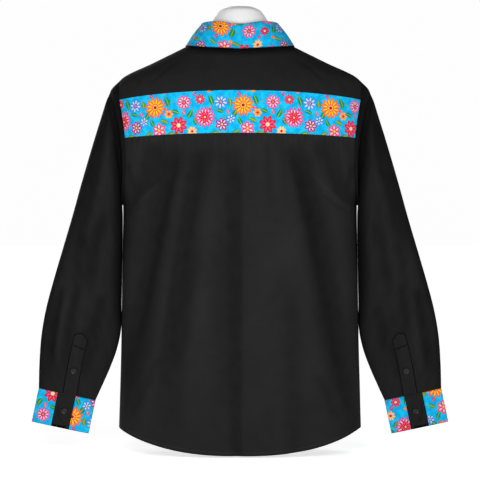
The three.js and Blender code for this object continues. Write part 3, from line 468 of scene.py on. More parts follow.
def body_skin(angle, z, extra=0.0):
    """The body's skin with its creases and folds. extra is more relief, outwards."""
    angle, z = np.broadcast_arrays(np.asarray(angle, float), np.asarray(z, float))
    points = body_point(angle, z)
    normals = body_normal(angle, z)
    x, y = points[..., 0], points[..., 1]
    back = y > 0
    broad = np.where(back, crease_depth(BACK_CREASES, x, z, BROAD_RIDGE, RUN_ON),
                     crease_depth(FRONT_CREASES, x, z, BROAD_RIDGE, RUN_ON))
    fine = np.where(back, crease_depth(BACK_FOLDS, x, z, RIDGE_SHARE),
                    crease_depth(FRONT_FOLDS, x, z, RIDGE_SHARE))
    # The swells die away towards the shoulders, where the cloth lies close over the form.
    calm = 1 - smoothstep(z, *CALM)
    swell = np.where(back, unevenness(3, x, z, BODY_SWELL), unevenness(5, x, z, BODY_SWELL)) * calm
    # Along the side seams the cloth lies flat.
    beside_seam = smoothstep(np.abs(y), *SEAM_FLAT)
    relief = (-broad * (1 + DEEPER * calm) - fine + swell) * beside_seam + extra
    # Where the sleeves hang against the body the side seams fill out towards them.
    meets = smoothstep(z, *PUFF_STARTS) * (1 - smoothstep(z, *PUFF_ENDS))
    relief = relief + SIDE_PUFF * np.exp(-(y / PUFF_REACH) ** 2) * meets
    return points + normals * relief[..., None], normals, relief


def angle_at(y, z):
    section = read(BODY, "z", z)
    share = np.clip(np.abs(y / half_depth(section, y)), 0, 1)
    return np.sign(y) * np.arcsin(share ** (section["square"] / 2))


def front_angle_at(x, z):
    section = read(BODY, "z", z)
    return -np.arccos(signed_power(x / section["half"], section["square"] / 2))


def hem_height(x, lowest):
    return lowest + (SIDE_HEM_Z - lowest) * np.minimum(np.abs(x) / HEM_HALF_WIDTH, 1) ** HEM_CURVE


def armhole(turn):
    """The left armhole seam: turn 0 is the underarm, a quarter turn the back, half the shoulder."""
    turn = np.asarray(turn, float)
    z = lerp(UNDERARM_Z, SHOULDER_Z, (1 - np.cos(turn)) / 2)
    reach = np.where(np.sin(turn) > 0, ARMHOLE_BACK, ARMHOLE_FRONT)
    y = reach * signed_power(np.sin(turn), ARMHOLE_FLATNESS)
    return np.where(np.abs(y) < 0.01, 0, angle_at(y, z)), z


def armhole_turn_at(z):
    return math.acos((UNDERARM_Z + SHOULDER_Z - 2 * z) / (SHOULDER_Z - UNDERARM_Z))


def oval(shape, turn):
    return shape["half"] * np.cos(turn), half_depth(shape, np.sin(turn)) * np.sin(turn)


def neckline(turn):
    """The direction and height on the body of the neckline, an oval seen from above."""
    x, y = oval(NECK, np.asarray(turn, float))
    low = np.full(np.shape(x), SHOULDER_Z)
    high = np.full(np.shape(x), BODY["z"][-1] + 1)

    def reached(z):
        section = read(BODY, "z", z)
        return (signed_power(x / section["half"], section["square"] / 2),
                signed_power(y / half_depth(section, y), section["square"] / 2))

    for _ in range(40):
        half_way = (low + high) / 2
        outside = np.hypot(*reached(half_way)) > 1
        high = np.where(outside, half_way, high)
        low = np.where(outside, low, half_way)
    across, along = reached(low)
    return np.arctan2(along, across), low


def band_edge(x, middle_z, drop):
    return middle_z - drop * (x / BAND_HALF_WIDTH) ** 2


BAND_BOTTOM_TURN = armhole_turn_at(band_edge(BAND_HALF_WIDTH, BAND_BOTTOM_Z, BAND_BOTTOM_DROP))
BAND_TOP_TURN = armhole_turn_at(band_edge(BAND_HALF_WIDTH, BAND_TOP_Z, BAND_TOP_DROP))
FRONT_YOKE_END = math.pi + FRONT_YOKE_TURN
HALF_GAP = SEAM_GAP / 2
LEFT_FRONT_EDGE = PLACKET_HALF_WIDTH + SEAM_GAP
FRONT_ROW_RISE = 4
COLUMN_LEAN_FROM = 0.3
MIDDLE_CLOSENESS = 0.35
BACK_COLUMNS, YOKE_COLUMNS = 170, 120
TOP_CLOSENESS = 1.25  # rows and columns lie closer together beside the shoulder


def back_columns(count):
    share = np.linspace(0, 1, count + 1)
    return share + MIDDLE_CLOSENESS * np.sin(2 * math.pi * share) / (2 * math.pi)


def side_ends(turns, side, rows_below):
    """The end of each row of a panel: up the side seam, then round the armhole."""
    near_side = side * HALF_GAP / HEM_HALF_WIDTH
    low_z = np.linspace(SIDE_HEM_Z, UNDERARM_Z, rows_below + 1)[:-1]
    seam_angle, seam_z = armhole(turns)
    seam_angle = np.where(np.abs(seam_angle) < abs(near_side), near_side, seam_angle)
    angles = np.concatenate([np.full(rows_below, near_side), seam_angle])
    return angles, np.concatenate([low_z, seam_z])


def column_shift(angles, climb, from_armhole):
    """How far each row has gone from its lowest angles to its highest, across its width."""
    seam_shift = ((angles - angles[0]) / (angles[-1] - angles[0]))[:, None]
    return lerp(seam_shift, climb, smoothstep(from_armhole, 0, COLUMN_LEAN_FROM))


def across_back(angle, share):
    return lerp(angle, math.pi - angle, share)


def round_yoke(left, middle):
    """Angles and heights up the left side, across the back and down the right side."""
    (left_angle, left_z), (angle, z) = left, middle
    return (np.concatenate([left_angle, angle, math.pi - left_angle[::-1]]),
            np.concatenate([left_z, z, left_z[::-1]]))


def back_panel():
    angles, heights = side_ends(np.linspace(0, BAND_BOTTOM_TURN, 44), 1, 120)
    share = back_columns(BACK_COLUMNS)
    climb = ((heights - SIDE_HEM_Z) / (heights[-1] - SIDE_HEM_Z))[:, None]
    bottom, top = across_back(angles[0], share), across_back(angles[-1], share)
    shift = column_shift(angles, climb, np.minimum(share, 1 - share))
    low = hem_height(body_point(bottom, SIDE_HEM_Z)[:, 0], BACK_HEM_Z)
    top_x = body_point(top, heights[-1])[:, 0]
    high = band_edge(top_x, BAND_BOTTOM_Z, BAND_BOTTOM_DROP) - HALF_GAP
    z = lerp(low, high, climb)
    angle = lerp(bottom, top, shift)
    x = body_point(angle, z)[..., 0]
    return body_skin(angle, z, puckers(x, high - z))


def yoke_band():
    angles, heights = armhole(np.linspace(BAND_BOTTOM_TURN, BAND_TOP_TURN, 28))
    share = back_columns(BACK_COLUMNS)
    climb = ((heights - heights[0]) / (heights[-1] - heights[0]))[:, None]
    bottom_x, top_x = (body_point(across_back(angles[i], share), heights[i])[:, 0] for i in (0, -1))
    low = band_edge(bottom_x, BAND_BOTTOM_Z, BAND_BOTTOM_DROP) + HALF_GAP
    high = band_edge(top_x, BAND_TOP_Z, BAND_TOP_DROP) - HALF_GAP
    skin = body_skin(across_back(angles[:, None], share), lerp(low, high, climb))
    return drawn_back(skin, SEAM_GAP)


def drawn_back(skin, distance):
    """The skin with both ends of each row moved towards the points next to them."""
    points, normals, relief = skin
    for end, before in ((0, 1), (-1, -2)):
        points[:, end] += unit(points[:, before] - points[:, end]) * distance
    return points, normals, relief


def yoke():
    turns = np.linspace(FRONT_YOKE_END, BAND_TOP_TURN, 46)
    past = (turns - math.pi) / FRONT_YOKE_TURN
    behind = (math.pi - turns) / (math.pi - BAND_TOP_TURN)
    neck_turns = np.where(past > 0, -FRONT_YOKE_TURN * past, BACK_NECK_TURN * behind)
    share = back_columns(YOKE_COLUMNS)[1:-1]
    top_angle, top_z = armhole(BAND_TOP_TURN)
    band_angle = across_back(top_angle, share)
    band_x = body_point(band_angle, top_z)[:, 0]
    band_z = band_edge(band_x, BAND_TOP_Z, BAND_TOP_DROP) + HALF_GAP
    outer_angle, outer_z = round_yoke(armhole(turns), (band_angle, band_z))
    behind_neck = neckline(across_back(BACK_NECK_TURN, share))
    inner_angle, inner_z = round_yoke(neckline(neck_turns), behind_neck)
    climb = np.linspace(0, 1, 26)[:, None] ** TOP_CLOSENESS
    angle, z = lerp(outer_angle, inner_angle, climb), lerp(outer_z, inner_z, climb)
    points, normals, relief = body_skin(angle, z)
    # A painted shadow darkens the cloth under the leaf.
    leaf_z = LEAF_BACK_Z + LEAF_SIDE_RISE * (points[..., 0] / LEAF_HALF_WIDTH) ** 2
    kept = smoothstep(points[..., 2], leaf_z - LEAF_SHADE, leaf_z) * (points[..., 1] > 0)
    return drawn_back((points, normals, relief - LEAF_SHADOW * kept), SEAM_GAP + HALF_GAP)


FRONT_ANGLES, FRONT_HEIGHTS = side_ends(np.linspace(2 * math.pi, FRONT_YOKE_END, 44), -1, 100)
FRONT_YOKE_Z = FRONT_HEIGHTS[-1]
FRONT_CLIMB = ((FRONT_HEIGHTS - SIDE_HEM_Z) / (FRONT_YOKE_Z - SIDE_HEM_Z))[:, None]


def front_height(low_z, top_z):
    rise = (top_z - FRONT_YOKE_Z) * FRONT_CLIMB ** FRONT_ROW_RISE
    return lerp(low_z, FRONT_YOKE_Z, FRONT_CLIMB) + rise


def neck_turn_at(x):
    return -np.arccos(x / NECK["half"])


def front_skin(centre_x, own_side):
    """The left front's skin, to centre_x. own_side is False for the right front's creases."""
    yoke_angle, yoke_z = FRONT_ANGLES[-1], FRONT_YOKE_Z
    neck_angle, neck_z = neckline(-FRONT_YOKE_TURN)
    along = np.linspace(0, 1, 42) ** TOP_CLOSENESS
    round_neck = np.linspace(-FRONT_YOKE_TURN, neck_turn_at(centre_x), 34)[1:]
    neck_angles, neck_heights = neckline(round_neck)
    top_angle = np.concatenate([lerp(yoke_angle, neck_angle, along), neck_angles])
    top_z = np.concatenate([lerp(yoke_z, neck_z, along), neck_heights])
    share = (top_angle - yoke_angle) / (top_angle[-1] - yoke_angle)
    side = FRONT_ANGLES[0]
    middle_z = front_height(hem_height(centre_x, FRONT_HEM_Z), top_z[-1])
    middle = front_angle_at(centre_x, middle_z)
    hem_middle = front_angle_at(centre_x, SIDE_HEM_Z)
    hem_x = body_point(lerp(side, hem_middle, share), SIDE_HEM_Z)[:, 0]
    z = front_height(hem_height(hem_x, FRONT_HEM_Z), top_z)
    shift = column_shift(FRONT_ANGLES, FRONT_CLIMB, share)
    angle = lerp(lerp(side, yoke_angle, shift), middle, share)
    return body_skin(angle, z) if own_side else mirrored(body_skin(math.pi - angle, z))


def front_placket():
    x = np.linspace(-PLACKET_HALF_WIDTH, PLACKET_HALF_WIDTH, 13)
    top = neckline(neck_turn_at(x))[1] - PLACKET_DROP
    z = front_height(hem_height(x, FRONT_HEM_Z), top)
    return body_skin(front_angle_at(x, z), z)


# ---- The collar ----


def outward(turn):
    x = np.cos(turn) / STAND_TOP["half"]
    y = np.sin(turn) / half_depth(STAND_TOP, np.sin(turn))
    return unit(np.stack([x, y, np.zeros_like(x)], axis=-1))


def stand_top(turn):
    x, y = oval(STAND_TOP, turn)
    rise = STAND_HEIGHT + STAND_BACK_RISE * np.maximum(np.sin(turn), 0) ** 2
    return np.stack([x, y, neckline(turn)[1] + rise], axis=-1)


def stand_point(turn, climb):
    turn, climb = np.broadcast_arrays(np.asarray(turn, float), np.asarray(climb, float))
    base = body_point(*neckline(turn)) + np.array([0, 0, STAND_GAP])
    past_middle = smoothstep(-turn, *STAND_LIFT_TURNS)
    lifted_end = outward(turn) * (STAND_LIFT * past_middle)[..., None]
    return lerp(base, stand_top(turn), climb[..., None]) + lifted_end


def collar_stand():
    overlap = math.pi / 2 + STAND_OVERLAP
    turns = np.linspace(-overlap, math.pi + overlap, 180)
    climb = np.linspace(0, 1, 10)[:, None]
    points = stand_point(turns, climb)
    normals = np.broadcast_to(outward(turns), points.shape)
    return points, normals, np.zeros(points.shape[:2])


def leaf_point(turn, step):
    turn, step = np.broadcast_arrays(np.asarray(turn, float), np.asarray(step, float))
    degrees = np.degrees(turn)
    back = degrees > 90
    edge = read(LEAF_EDGE, "turn", np.where(back, 180 - degrees, degrees))
    rim = np.stack([np.where(back, -edge["x"], edge["x"]), edge["y"], edge["z"]], axis=-1)
    profile = read(LEAF_PROFILE, "step", step)
    points = lerp(stand_top(turn), rim, profile["share"][..., None])
    points = points + outward(turn) * profile["out"][..., None]
    points[..., 2] += profile["up"]
    return points


def collar_leaf():
    last = LEAF_PROFILE["step"][-1]
    turns = np.linspace(LEAF_START, math.pi - LEAF_START, 190)
    steps = np.linspace(0, last, 36)[:, None]
    points = leaf_point(turns, steps)
    along = leaf_point(turns + 0.02, steps) - leaf_point(turns - 0.02, steps)
    below, above = np.minimum(steps + 0.2, last), np.maximum(steps - 0.2, 0)
    down = leaf_point(turns, below) - leaf_point(turns, above)
    normals = unit(np.cross(down, along))
    normals[0] = -outward(turns)
    return points, normals, np.zeros(points.shape[:2])


# ---- The sleeves ----


def sleeve_head(turn):
    """The armhole seam, moved a gap along the cloth from the body's edge."""
    seam = body_point(*armhole(turn))
    along = body_point(*armhole(turn + 0.03)) - body_point(*armhole(turn - 0.03))
    out = unit(np.cross(along, body_normal(*armhole(turn))))
    middle = (body_point(*armhole(0.0)) + body_point(*armhole(math.pi))) / 2
    inwards = np.sum(out * (middle - seam), axis=-1, keepdims=True) < 0
    return seam + np.where(inwards, -out, out) * (SEAM_GAP + HALF_GAP)


def flat_section(turn, squareness):
    """How far across a flattened tube a turn lies, from 0 to 1, and how far behind its middle."""
    power = 2 / squareness
    return (1 - signed_power(np.cos(turn), power)) / 2, signed_power(np.sin(turn), power)


def turn_at(offset, width, squareness):
    """The turn on the tube's back that lies this far from its middle."""
    return np.arccos(signed_power(-2 * offset / width, squareness / 2))


def sleeve_knots(turn):
    along, behind = flat_section(turn, SLEEVE_SQUARENESS)
    knots = [sleeve_head(turn)]
    for low_x, low_z, high_x, high_z, back, front, bow in zip(*SLEEVE.values()):
        x = lerp(low_x, high_x, along) - bow * np.sin(math.pi * along)
        y = np.where(np.sin(turn) > 0, back, front) * behind
        knots.append(np.stack([x, y, lerp(low_z, high_z, along)], axis=-1))
    return np.stack(knots)


def sleeve_point(row, turn):
    row, turn = np.broadcast_arrays(np.asarray(row, float), np.asarray(turn, float))
    shape = row.shape
    row, turn = row.ravel(), turn.ravel()
    knots = sleeve_knots(turn)
    i = np.clip(np.floor(row).astype(int), 0, SLEEVE_LAST - 1)
    each = np.arange(len(row))
    t = (row - i)[:, None]
    start, end = knots[i, each], knots[i + 1, each]
    before = np.where((i > 0)[:, None], knots[np.maximum(i - 1, 0), each], 2 * start - end)
    has_after = (i < SLEEVE_LAST - 1)[:, None]
    after = np.where(has_after, knots[np.minimum(i + 2, SLEEVE_LAST), each], 2 * end - start)
    return hermite(start, end, (end - before) / 2, (after - start) / 2, t).reshape(*shape, 3)


def sleeve_skin(row, turn, folds):
    points = sleeve_point(row, turn)
    normals = normal_of(sleeve_point, row, turn, 0.02, 0.02, -1)
    x, z = points[..., 0], points[..., 2]
    depth = crease_depth(folds, x, z, RIDGE_SHARE)
    seed = int(folds["top_x"][0])
    back = points[..., 1] > 0
    behind, before = (unevenness(seed + i, x, z, SLEEVE_SWELL) for i in (0, 1))
    swell = np.where(back, behind, before)
    # The folds flatten at the armhole, the cuff and the sleeve's two creased edges.
    ends = smoothstep(row, *HEAD_CALM) * (1 - smoothstep(row, SLEEVE_LAST - CUFF_CALM, SLEEVE_LAST))
    faces = smoothstep(np.abs(np.sin(turn)), *EDGE_CALM)
    relief = (np.where(back, 1, FRONT_SHARE) * -depth + swell) * ends * faces
    # Painted shade beside the body, where the sleeve hangs close against it, and along its outer
    # edge. Lower down it hangs clear.
    inner, outer = (sleeve_point(row, np.full_like(turn, edge))[..., 0] for edge in (0, math.pi))
    edge_shade = np.exp(-((x - inner) / INNER_SHADE_REACH) ** 2) * (1 - smoothstep(row, *INNER_SHADE_END))
    edge_shade = edge_shade + OUTER_SHADE * np.exp(-((x - outer) / OUTER_SHADE_REACH) ** 2)
    return points + normals * relief[..., None], normals, relief - INNER_SHADE * edge_shade


def sleeve(folds):
    rows = np.concatenate([np.linspace(0, 4, 36)[:-1], np.linspace(4, SLEEVE_LAST, 96)])[:, None]
    turns = np.linspace(0, 2 * math.pi, 97)[:-1]
    points, normals, relief = sleeve_skin(rows, turns, folds)
    normals[0] = body_normal(*armhole(turns))
    return points, normals, relief


def back_turn(row, offset):
    width = np.linalg.norm(sleeve_point(row, 0.0) - sleeve_point(row, math.pi), axis=-1)
    return turn_at(offset, width, SLEEVE_SQUARENESS)


# The bar of stitches across the placket: its slant over the width, in rows, and its half-length, as
# a share of the width. The rest are millimetres, and the painted shade and shadow are depths of
# fold.
BAR_SLANT, BAR_HALF = 0.012, 0.38
BAR_WIDTH, BAR_DEPTH, BAR_SHADE = 1.1, 0.9, 15
PUFF_HEIGHT, PUFF_LENGTH = 0.5, 9  # how the strip stands up on both sides of the bar
OUTLINE_WIDTH, OUTLINE_SHADOW = 0.9, 10
FOLDS_THROUGH = 0.5  # how much of the sleeve's folds the strip takes up


def tower(folds):
    """The sleeve placket: a strip with a pointed end, lying on the back of the sleeve."""
    ends = [sum(sleeve_point(TOWER_START_ROW + i, edge) for edge in (0.0, math.pi)) / 2
            for i in (0, 1)]
    point_rows = TOWER_POINT / np.linalg.norm(ends[1] - ends[0])
    side = np.linspace(-0.5, 0.5, 25)
    tip = TOWER_START_ROW + point_rows * np.abs(side) * 2
    row = lerp(tip, SLEEVE_LAST - 0.02, np.linspace(0, 1, 110)[:, None])
    turn = back_turn(row, TOWER_OFFSET + side * TOWER_WIDTH)
    points, normals, relief = sleeve_skin(row, turn, folds)
    from_bar = (row - TOWER_BAR_ROW - BAR_SLANT * side) * TOWER_ROW_LENGTH
    bar = np.exp(-(from_bar / BAR_WIDTH) ** 2) * (np.abs(side) < BAR_HALF)
    arch = PUFF_HEIGHT * np.sin(math.pi * np.clip(side + 0.5, 0, 1))
    shape = arch * np.exp(-np.abs(from_bar) / PUFF_LENGTH) - BAR_DEPTH * bar
    outline = np.exp(-((0.5 - np.abs(side)) * TOWER_WIDTH / OUTLINE_WIDTH) ** 2)
    # Painted shade in the bar's groove, and a painted shadow line along both edges of the strip.
    relief = relief * FOLDS_THROUGH - BAR_SHADE * bar - OUTLINE_SHADOW * outline
    return points + normals * shape[..., None], normals, relief


# ---- The cuffs ----

CUFF_START = np.array([CUFF_LOW_EDGE[0], 0, CUFF_LOW_EDGE[1]])
CUFF_ACROSS = np.array([CUFF_HIGH_EDGE[0], 0, CUFF_HIGH_EDGE[1]]) - CUFF_START
CUFF_WIDTH = float(np.linalg.norm(CUFF_ACROSS))
CUFF_DOWN = np.array([CUFF_ACROSS[2], 0, -CUFF_ACROSS[0]]) / CUFF_WIDTH


def cuff_point(drop, turn):
    drop, turn = np.broadcast_arrays(np.asarray(drop, float), np.asarray(turn, float))
    along, behind = flat_section(turn, CUFF_SQUARENESS)
    points = CUFF_START + CUFF_ACROSS * along[..., None] + CUFF_DOWN * drop[..., None]
    points[..., 1] = CUFF_HALF_DEPTH * behind
    return points


def cuff_skin(drop, turn):
    points = cuff_point(drop, turn)
    return points, normal_of(cuff_point, drop, turn, 1, 0.03, -1), np.zeros(points.shape[:-1])


def cuff():
    return cuff_skin(np.linspace(0, CUFF_HEIGHT, 24)[:, None], np.linspace(0, 2 * math.pi, 97)[:-1])


# The tab that ends the cuff. Its edge is a curve: where it starts and how far it sweeps, as shares
# of the strip's width, and its power.
TAB_EDGE, TAB_SWEEP, TAB_CURVE, TAB_FALL = 0.33, 0.62, 2.2, 1.15
TAB_SHOWS = (TAB_TURN - 6, TAB_TURN + 4)
TAB_LINE, TAB_LINE_SHADE = 0.8, 11
TAB_STEP_HALF, TAB_STEP = 0.6, 0.6
OPEN_FROM, OPEN_SIDE = (TAB_END - 1, TAB_END + 1), (-0.36, -0.2)
OPEN_DEPTH, OPEN_SHADOW = 0.8, 22


def cuff_strip():
    share = np.linspace(-0.5, 0.5, 61)
    drop = np.linspace(0, CUFF_HEIGHT, 90)[:, None]
    turn = turn_at(share * CUFF_STRIP_WIDTH, CUFF_WIDTH, CUFF_SQUARENESS)
    points, normals, _ = cuff_skin(drop, turn)
    # The cuff's end is a rounded tab: its edge runs down near the outer side, then curves across.
    fall = np.clip((drop - TAB_TURN) / (TAB_END - TAB_TURN), 0, TAB_FALL)
    beyond = (share - TAB_EDGE + TAB_SWEEP * fall ** TAB_CURVE) * CUFF_STRIP_WIDTH
    shown = smoothstep(drop, *TAB_SHOWS)
    line = np.exp(-(beyond / TAB_LINE) ** 2) * shown
    step = smoothstep(beyond, -TAB_STEP_HALF, TAB_STEP_HALF) * shown
    open_end = smoothstep(drop, *OPEN_FROM) * smoothstep(share, *OPEN_SIDE)
    shape = -TAB_STEP * step - OPEN_DEPTH * open_end
    # Painted shade along the tab's curved edge, and a painted shadow in the opening under the
    # cuff's end.
    return points + normals * shape[..., None], normals, -TAB_LINE_SHADE * line - OPEN_SHADOW * open_end


# The arms' sides, their sleeves' folds, and where on the printed cloth their cuffs were cut.
ARMS = (("left", LEFT_SLEEVE_FOLDS, (104, 18)), ("right", RIGHT_SLEEVE_FOLDS, (40, 62)))


def on_side(skin, side):
    return mirrored(skin) if side == "right" else skin


# ---- Materials ----

FOLD_SHADE = 0.42  # how much darker a trough is, as painted shade, and how much lighter a ridge, as painted light and rubbing
PATCH_SCALE, PATCH_FADE = 0.045, 0.4  # the uneven fading, a patch for every 20 mm or so
LEAST_FADE = 0.87
EDGE_LINE, EDGE_SOFTNESS = 1.9, 0.9  # the painted shade along a stitched edge, in millimetres
EDGE_SHADE = 0.75
THREAD_PITCH = 0.55  # from one thread of the weave to the next
THREAD_HEIGHT = 0.35  # beside the slubs, which are as high as 1
SLUB_STRETCH = (0.12, 1.3, 1.0)
STITCH_LENGTH, STITCH_SHARE = 3.2, 0.7
STITCH_WIDTH, STITCH_SOFTNESS = 0.09, 0.04  # of the distance from the edge to the stitches
FOLD_END, FOLD_SOFTNESS = 1.12, 0.12  # where the folded cloth under the stitches ends, the same
FOLD_HEIGHT, STITCH_DEPTH = 2.5, 1.5
CLOTH_BUMP, CLOTH_BUMP_STRENGTH = 0.00018, 0.7


def srgb(red, green, blue):
    """A colour from 0 to 255 a channel, as the shader takes it."""
    channels = [c / 255 for c in (red, green, blue)]
    linear = [c / 12.92 if c <= 0.04045 else ((c + 0.055) / 1.055) ** 2.4 for c in channels]
    return (*linear, 1.0)


class Field:
    """What a node gives out. Sums with it are made as nodes of the same tree."""

    def __init__(self, tree, socket):
        self.tree, self.socket = tree, socket


def give_sum(name, operation):
    """Lets Python's own sign for a sum make its node, with a Field on either side."""
    setattr(Field, f"__{name}__", lambda a, b: a.tree.math(operation, a, b))
    setattr(Field, f"__r{name}__", lambda b, a: b.tree.math(operation, a, b))


for pair in (("add", "ADD"), ("sub", "SUBTRACT"), ("mul", "MULTIPLY"), ("truediv", "DIVIDE")):
    give_sum(*pair)


class Tree:
    """Short names for making the nodes of one material or group."""

    def __init__(self, tree):
        self.tree = tree

    def give(self, socket, value):
        if isinstance(value, Field):
            self.tree.links.new(value.socket, socket)
        else:
            socket.default_value = value

    def made_by(self, kind, output, **inputs):
        node = self.tree.nodes.new(kind)
        for key, value in inputs.items():
            self.give(node.inputs[key], value)
        return Field(self, node.outputs[output])

    def operate(self, kind, operation, values):
        node = self.tree.nodes.new(kind)
        node.operation = operation
        for socket, value in zip(node.inputs, values):
            self.give(socket, value)
        return node

    def math(self, operation, *values, clamp=False):
        node = self.operate("ShaderNodeMath", operation, values)
        node.use_clamp = clamp
        return Field(self, node.outputs[0])

    def vector(self, operation, *values):
        return Field(self, self.operate("ShaderNodeVectorMath", operation, values).outputs[0])

    def split(self, vector):
        node = self.tree.nodes.new("ShaderNodeSeparateXYZ")
        self.give(node.inputs[0], vector)
        return [Field(self, output) for output in node.outputs]

    def mix(self, share, under, over):
        node = self.tree.nodes.new("ShaderNodeMix")
        node.data_type = "RGBA"
        for socket, value in (("Factor", share), (6, under), (7, over)):
            self.give(node.inputs[socket], value)
        return Field(self, node.outputs[2])

    def inside(self, amount, softness):
        """0 below zero, rising to 1 over a softness."""
        return self.math("DIVIDE", amount, softness, clamp=True)

    def attribute(self, name, output="Vector"):
        node = self.tree.nodes.new("ShaderNodeAttribute")
        node.attribute_name = name
        return Field(self, node.outputs[output])

    def noise(self, vector, scale, detail):
        return self.made_by("ShaderNodeTexNoise", "Fac", Vector=vector, Scale=scale, Detail=detail)

    def hypot(self, x, y):
        return self.math("SQRT", x * x + y * y)


def new_material(name, **shader_values):
    material = bpy.data.materials.new(name)
    material.use_nodes = True
    shader = material.node_tree.nodes["Principled BSDF"]
    for key, value in shader_values.items():
        shader.inputs[key.replace("_", " ")].default_value = value
    return material, Tree(material.node_tree), shader


def add_bump(tree, shader, height, distance, strength):
    tree.give(shader.inputs["Normal"], tree.made_by(
        "ShaderNodeBump", "Normal", Height=height, Strength=strength, Distance=distance))


def weave_height(tree, cloth):
    """A plain weave with uneven threads."""
    u, v, _ = tree.split(cloth)
    turn = 2 * math.pi / THREAD_PITCH
    over = tree.math("SINE", u * turn) * tree.math("SINE", v * turn)
    return over * THREAD_HEIGHT + tree.noise(tree.vector("MULTIPLY", cloth, SLUB_STRETCH), 1.0, 3.0)


def stitch_marks(tree):
    """The stitches beside an edge, from 0 to 1, and the fold of cloth that they hold down."""
    distance, along, _ = tree.split(tree.attribute("edge"))
    from_line = tree.math("ABSOLUTE", distance - 1.0)
    on_line = tree.inside(STITCH_WIDTH - from_line, STITCH_SOFTNESS)
    dash = tree.math("LESS_THAN", tree.math("FRACT", along / STITCH_LENGTH), STITCH_SHARE)
    return on_line * dash, tree.inside(FOLD_END - distance, FOLD_SOFTNESS)


def worn_and_shaded(tree, colour, cloth, amount):
    """The colour with painted shade in its folds' troughs, ridges lighter as painted light and
    rubbing, patchy fading, and painted shade along stitched edges.
    """
    patches = tree.noise(cloth, PATCH_SCALE, 3.0)
    fading_and_shade = tree.attribute("fold", "Fac") * FOLD_SHADE + patches * PATCH_FADE + LEAST_FADE
    # Painted shade along a stitched edge.
    rim = tree.inside(EDGE_LINE - tree.split(tree.attribute("edge"))[2], EDGE_SOFTNESS)
    return tree.made_by("ShaderNodeHueSaturation", "Color", Color=colour,
                        Value=fading_and_shade * (rim * -EDGE_SHADE + 1.0), Fac=amount)


def cotton_material(name, ground, stitch_colour, stitch_share, wear_and_shade, **shader_values):
    """Woven, stitched and faded cotton, with painted shade in its folds and along its stitched
    edges. ground gives its colour, from the tree and the cloth.
    """
    material, tree, shader = new_material(name, **shader_values)
    cloth = tree.attribute("cloth")
    stitches, folded = stitch_marks(tree)
    colour = tree.mix(stitches * stitch_share, ground(tree, cloth), stitch_colour)
    tree.give(shader.inputs["Base Color"], worn_and_shaded(tree, colour, cloth, wear_and_shade))
    height = weave_height(tree, cloth) + folded * FOLD_HEIGHT - stitches * STITCH_DEPTH
    add_bump(tree, shader, height, CLOTH_BUMP, CLOTH_BUMP_STRENGTH)
    return material


def black_ground(tree, cloth):
    return tree.mix(tree.noise(cloth, 0.9, 4.0), srgb(23, 23, 23), srgb(38, 38, 38))


# ---- The printed cloth ----

# One repeat of the print: asters and daisies of many narrow petals, the biggest ones high and the
# smaller ones between them, with loose leaves and buds. Everything wraps round, so the cloth may be
# cut anywhere.
REPEAT = (168.0, 84.0, 1.0)
LEAF_REPEAT = (84.0, 84.0, 1.0)  # the leaves and stems come twice as often
TURQUOISE = (srgb(0, 158, 212), srgb(20, 182, 226))
WHITE = srgb(204, 196, 200)
YELLOW = srgb(242, 190, 52)
ORANGE = srgb(238, 120, 26)
RED = srgb(222, 32, 44)
DARK_RED = srgb(150, 14, 40)
MAGENTA = srgb(190, 30, 120)
PINK = srgb(226, 78, 130)
PURPLE = srgb(118, 26, 110)
PALE_BLUE = srgb(92, 160, 220)
BLUE = srgb(30, 96, 190)
OLIVE = srgb(108, 140, 44)
GREEN = srgb(38, 132, 62)
DARK_GREEN = srgb(18, 84, 48)
LIME = srgb(176, 206, 74)

# Place u, v and radius, number of petals, turn in degrees, petal half-width, then its colours: rim,
# petal, heart of the petal, ring and eye. The double daisy is two flowers, the inner one on top.
DOUBLE_DAISY = (122, 36, 20)
INNER_SHARE = 0.6
FLOWERS = [
    (*DOUBLE_DAISY, 14, 18, 0.145, MAGENTA, PINK, WHITE, PINK, PINK),
    (*DOUBLE_DAISY[:2], DOUBLE_DAISY[2] * INNER_SHARE, 9, 18, 0.21,
     DARK_RED, RED, PINK, DARK_RED, YELLOW),
    (26, 58, 21, 12, 12, 0.165, RED, ORANGE, YELLOW, YELLOW, DARK_RED),
    (72, 22, 17, 8, 20, 0.24, DARK_RED, RED, PINK, YELLOW, WHITE),
    (82, 65, 14.5, 9, 8, 0.21, MAGENTA, PINK, WHITE, PURPLE, ORANGE),
    (152, 64, 14.5, 8, 10, 0.24, BLUE, PALE_BLUE, WHITE, BLUE, ORANGE),
    (34, 14, 14, 6, 25, 0.31, RED, PINK, WHITE, RED, YELLOW),
    (53, 44, 8.5, 6, 0, 0.31, RED, YELLOW, ORANGE, RED, DARK_RED),
    (154, 22, 13, 7, 55, 0.27, PURPLE, MAGENTA, WHITE, PURPLE, YELLOW),
    (98, 10, 9.5, 8, 70, 0.24, ORANGE, YELLOW, WHITE, RED, DARK_RED),
    (3, 32, 10, 6, 40, 0.31, BLUE, PALE_BLUE, WHITE, BLUE, YELLOW),
    (113, 70, 10, 8, 35, 0.24, DARK_RED, RED, PINK, YELLOW, WHITE),
]

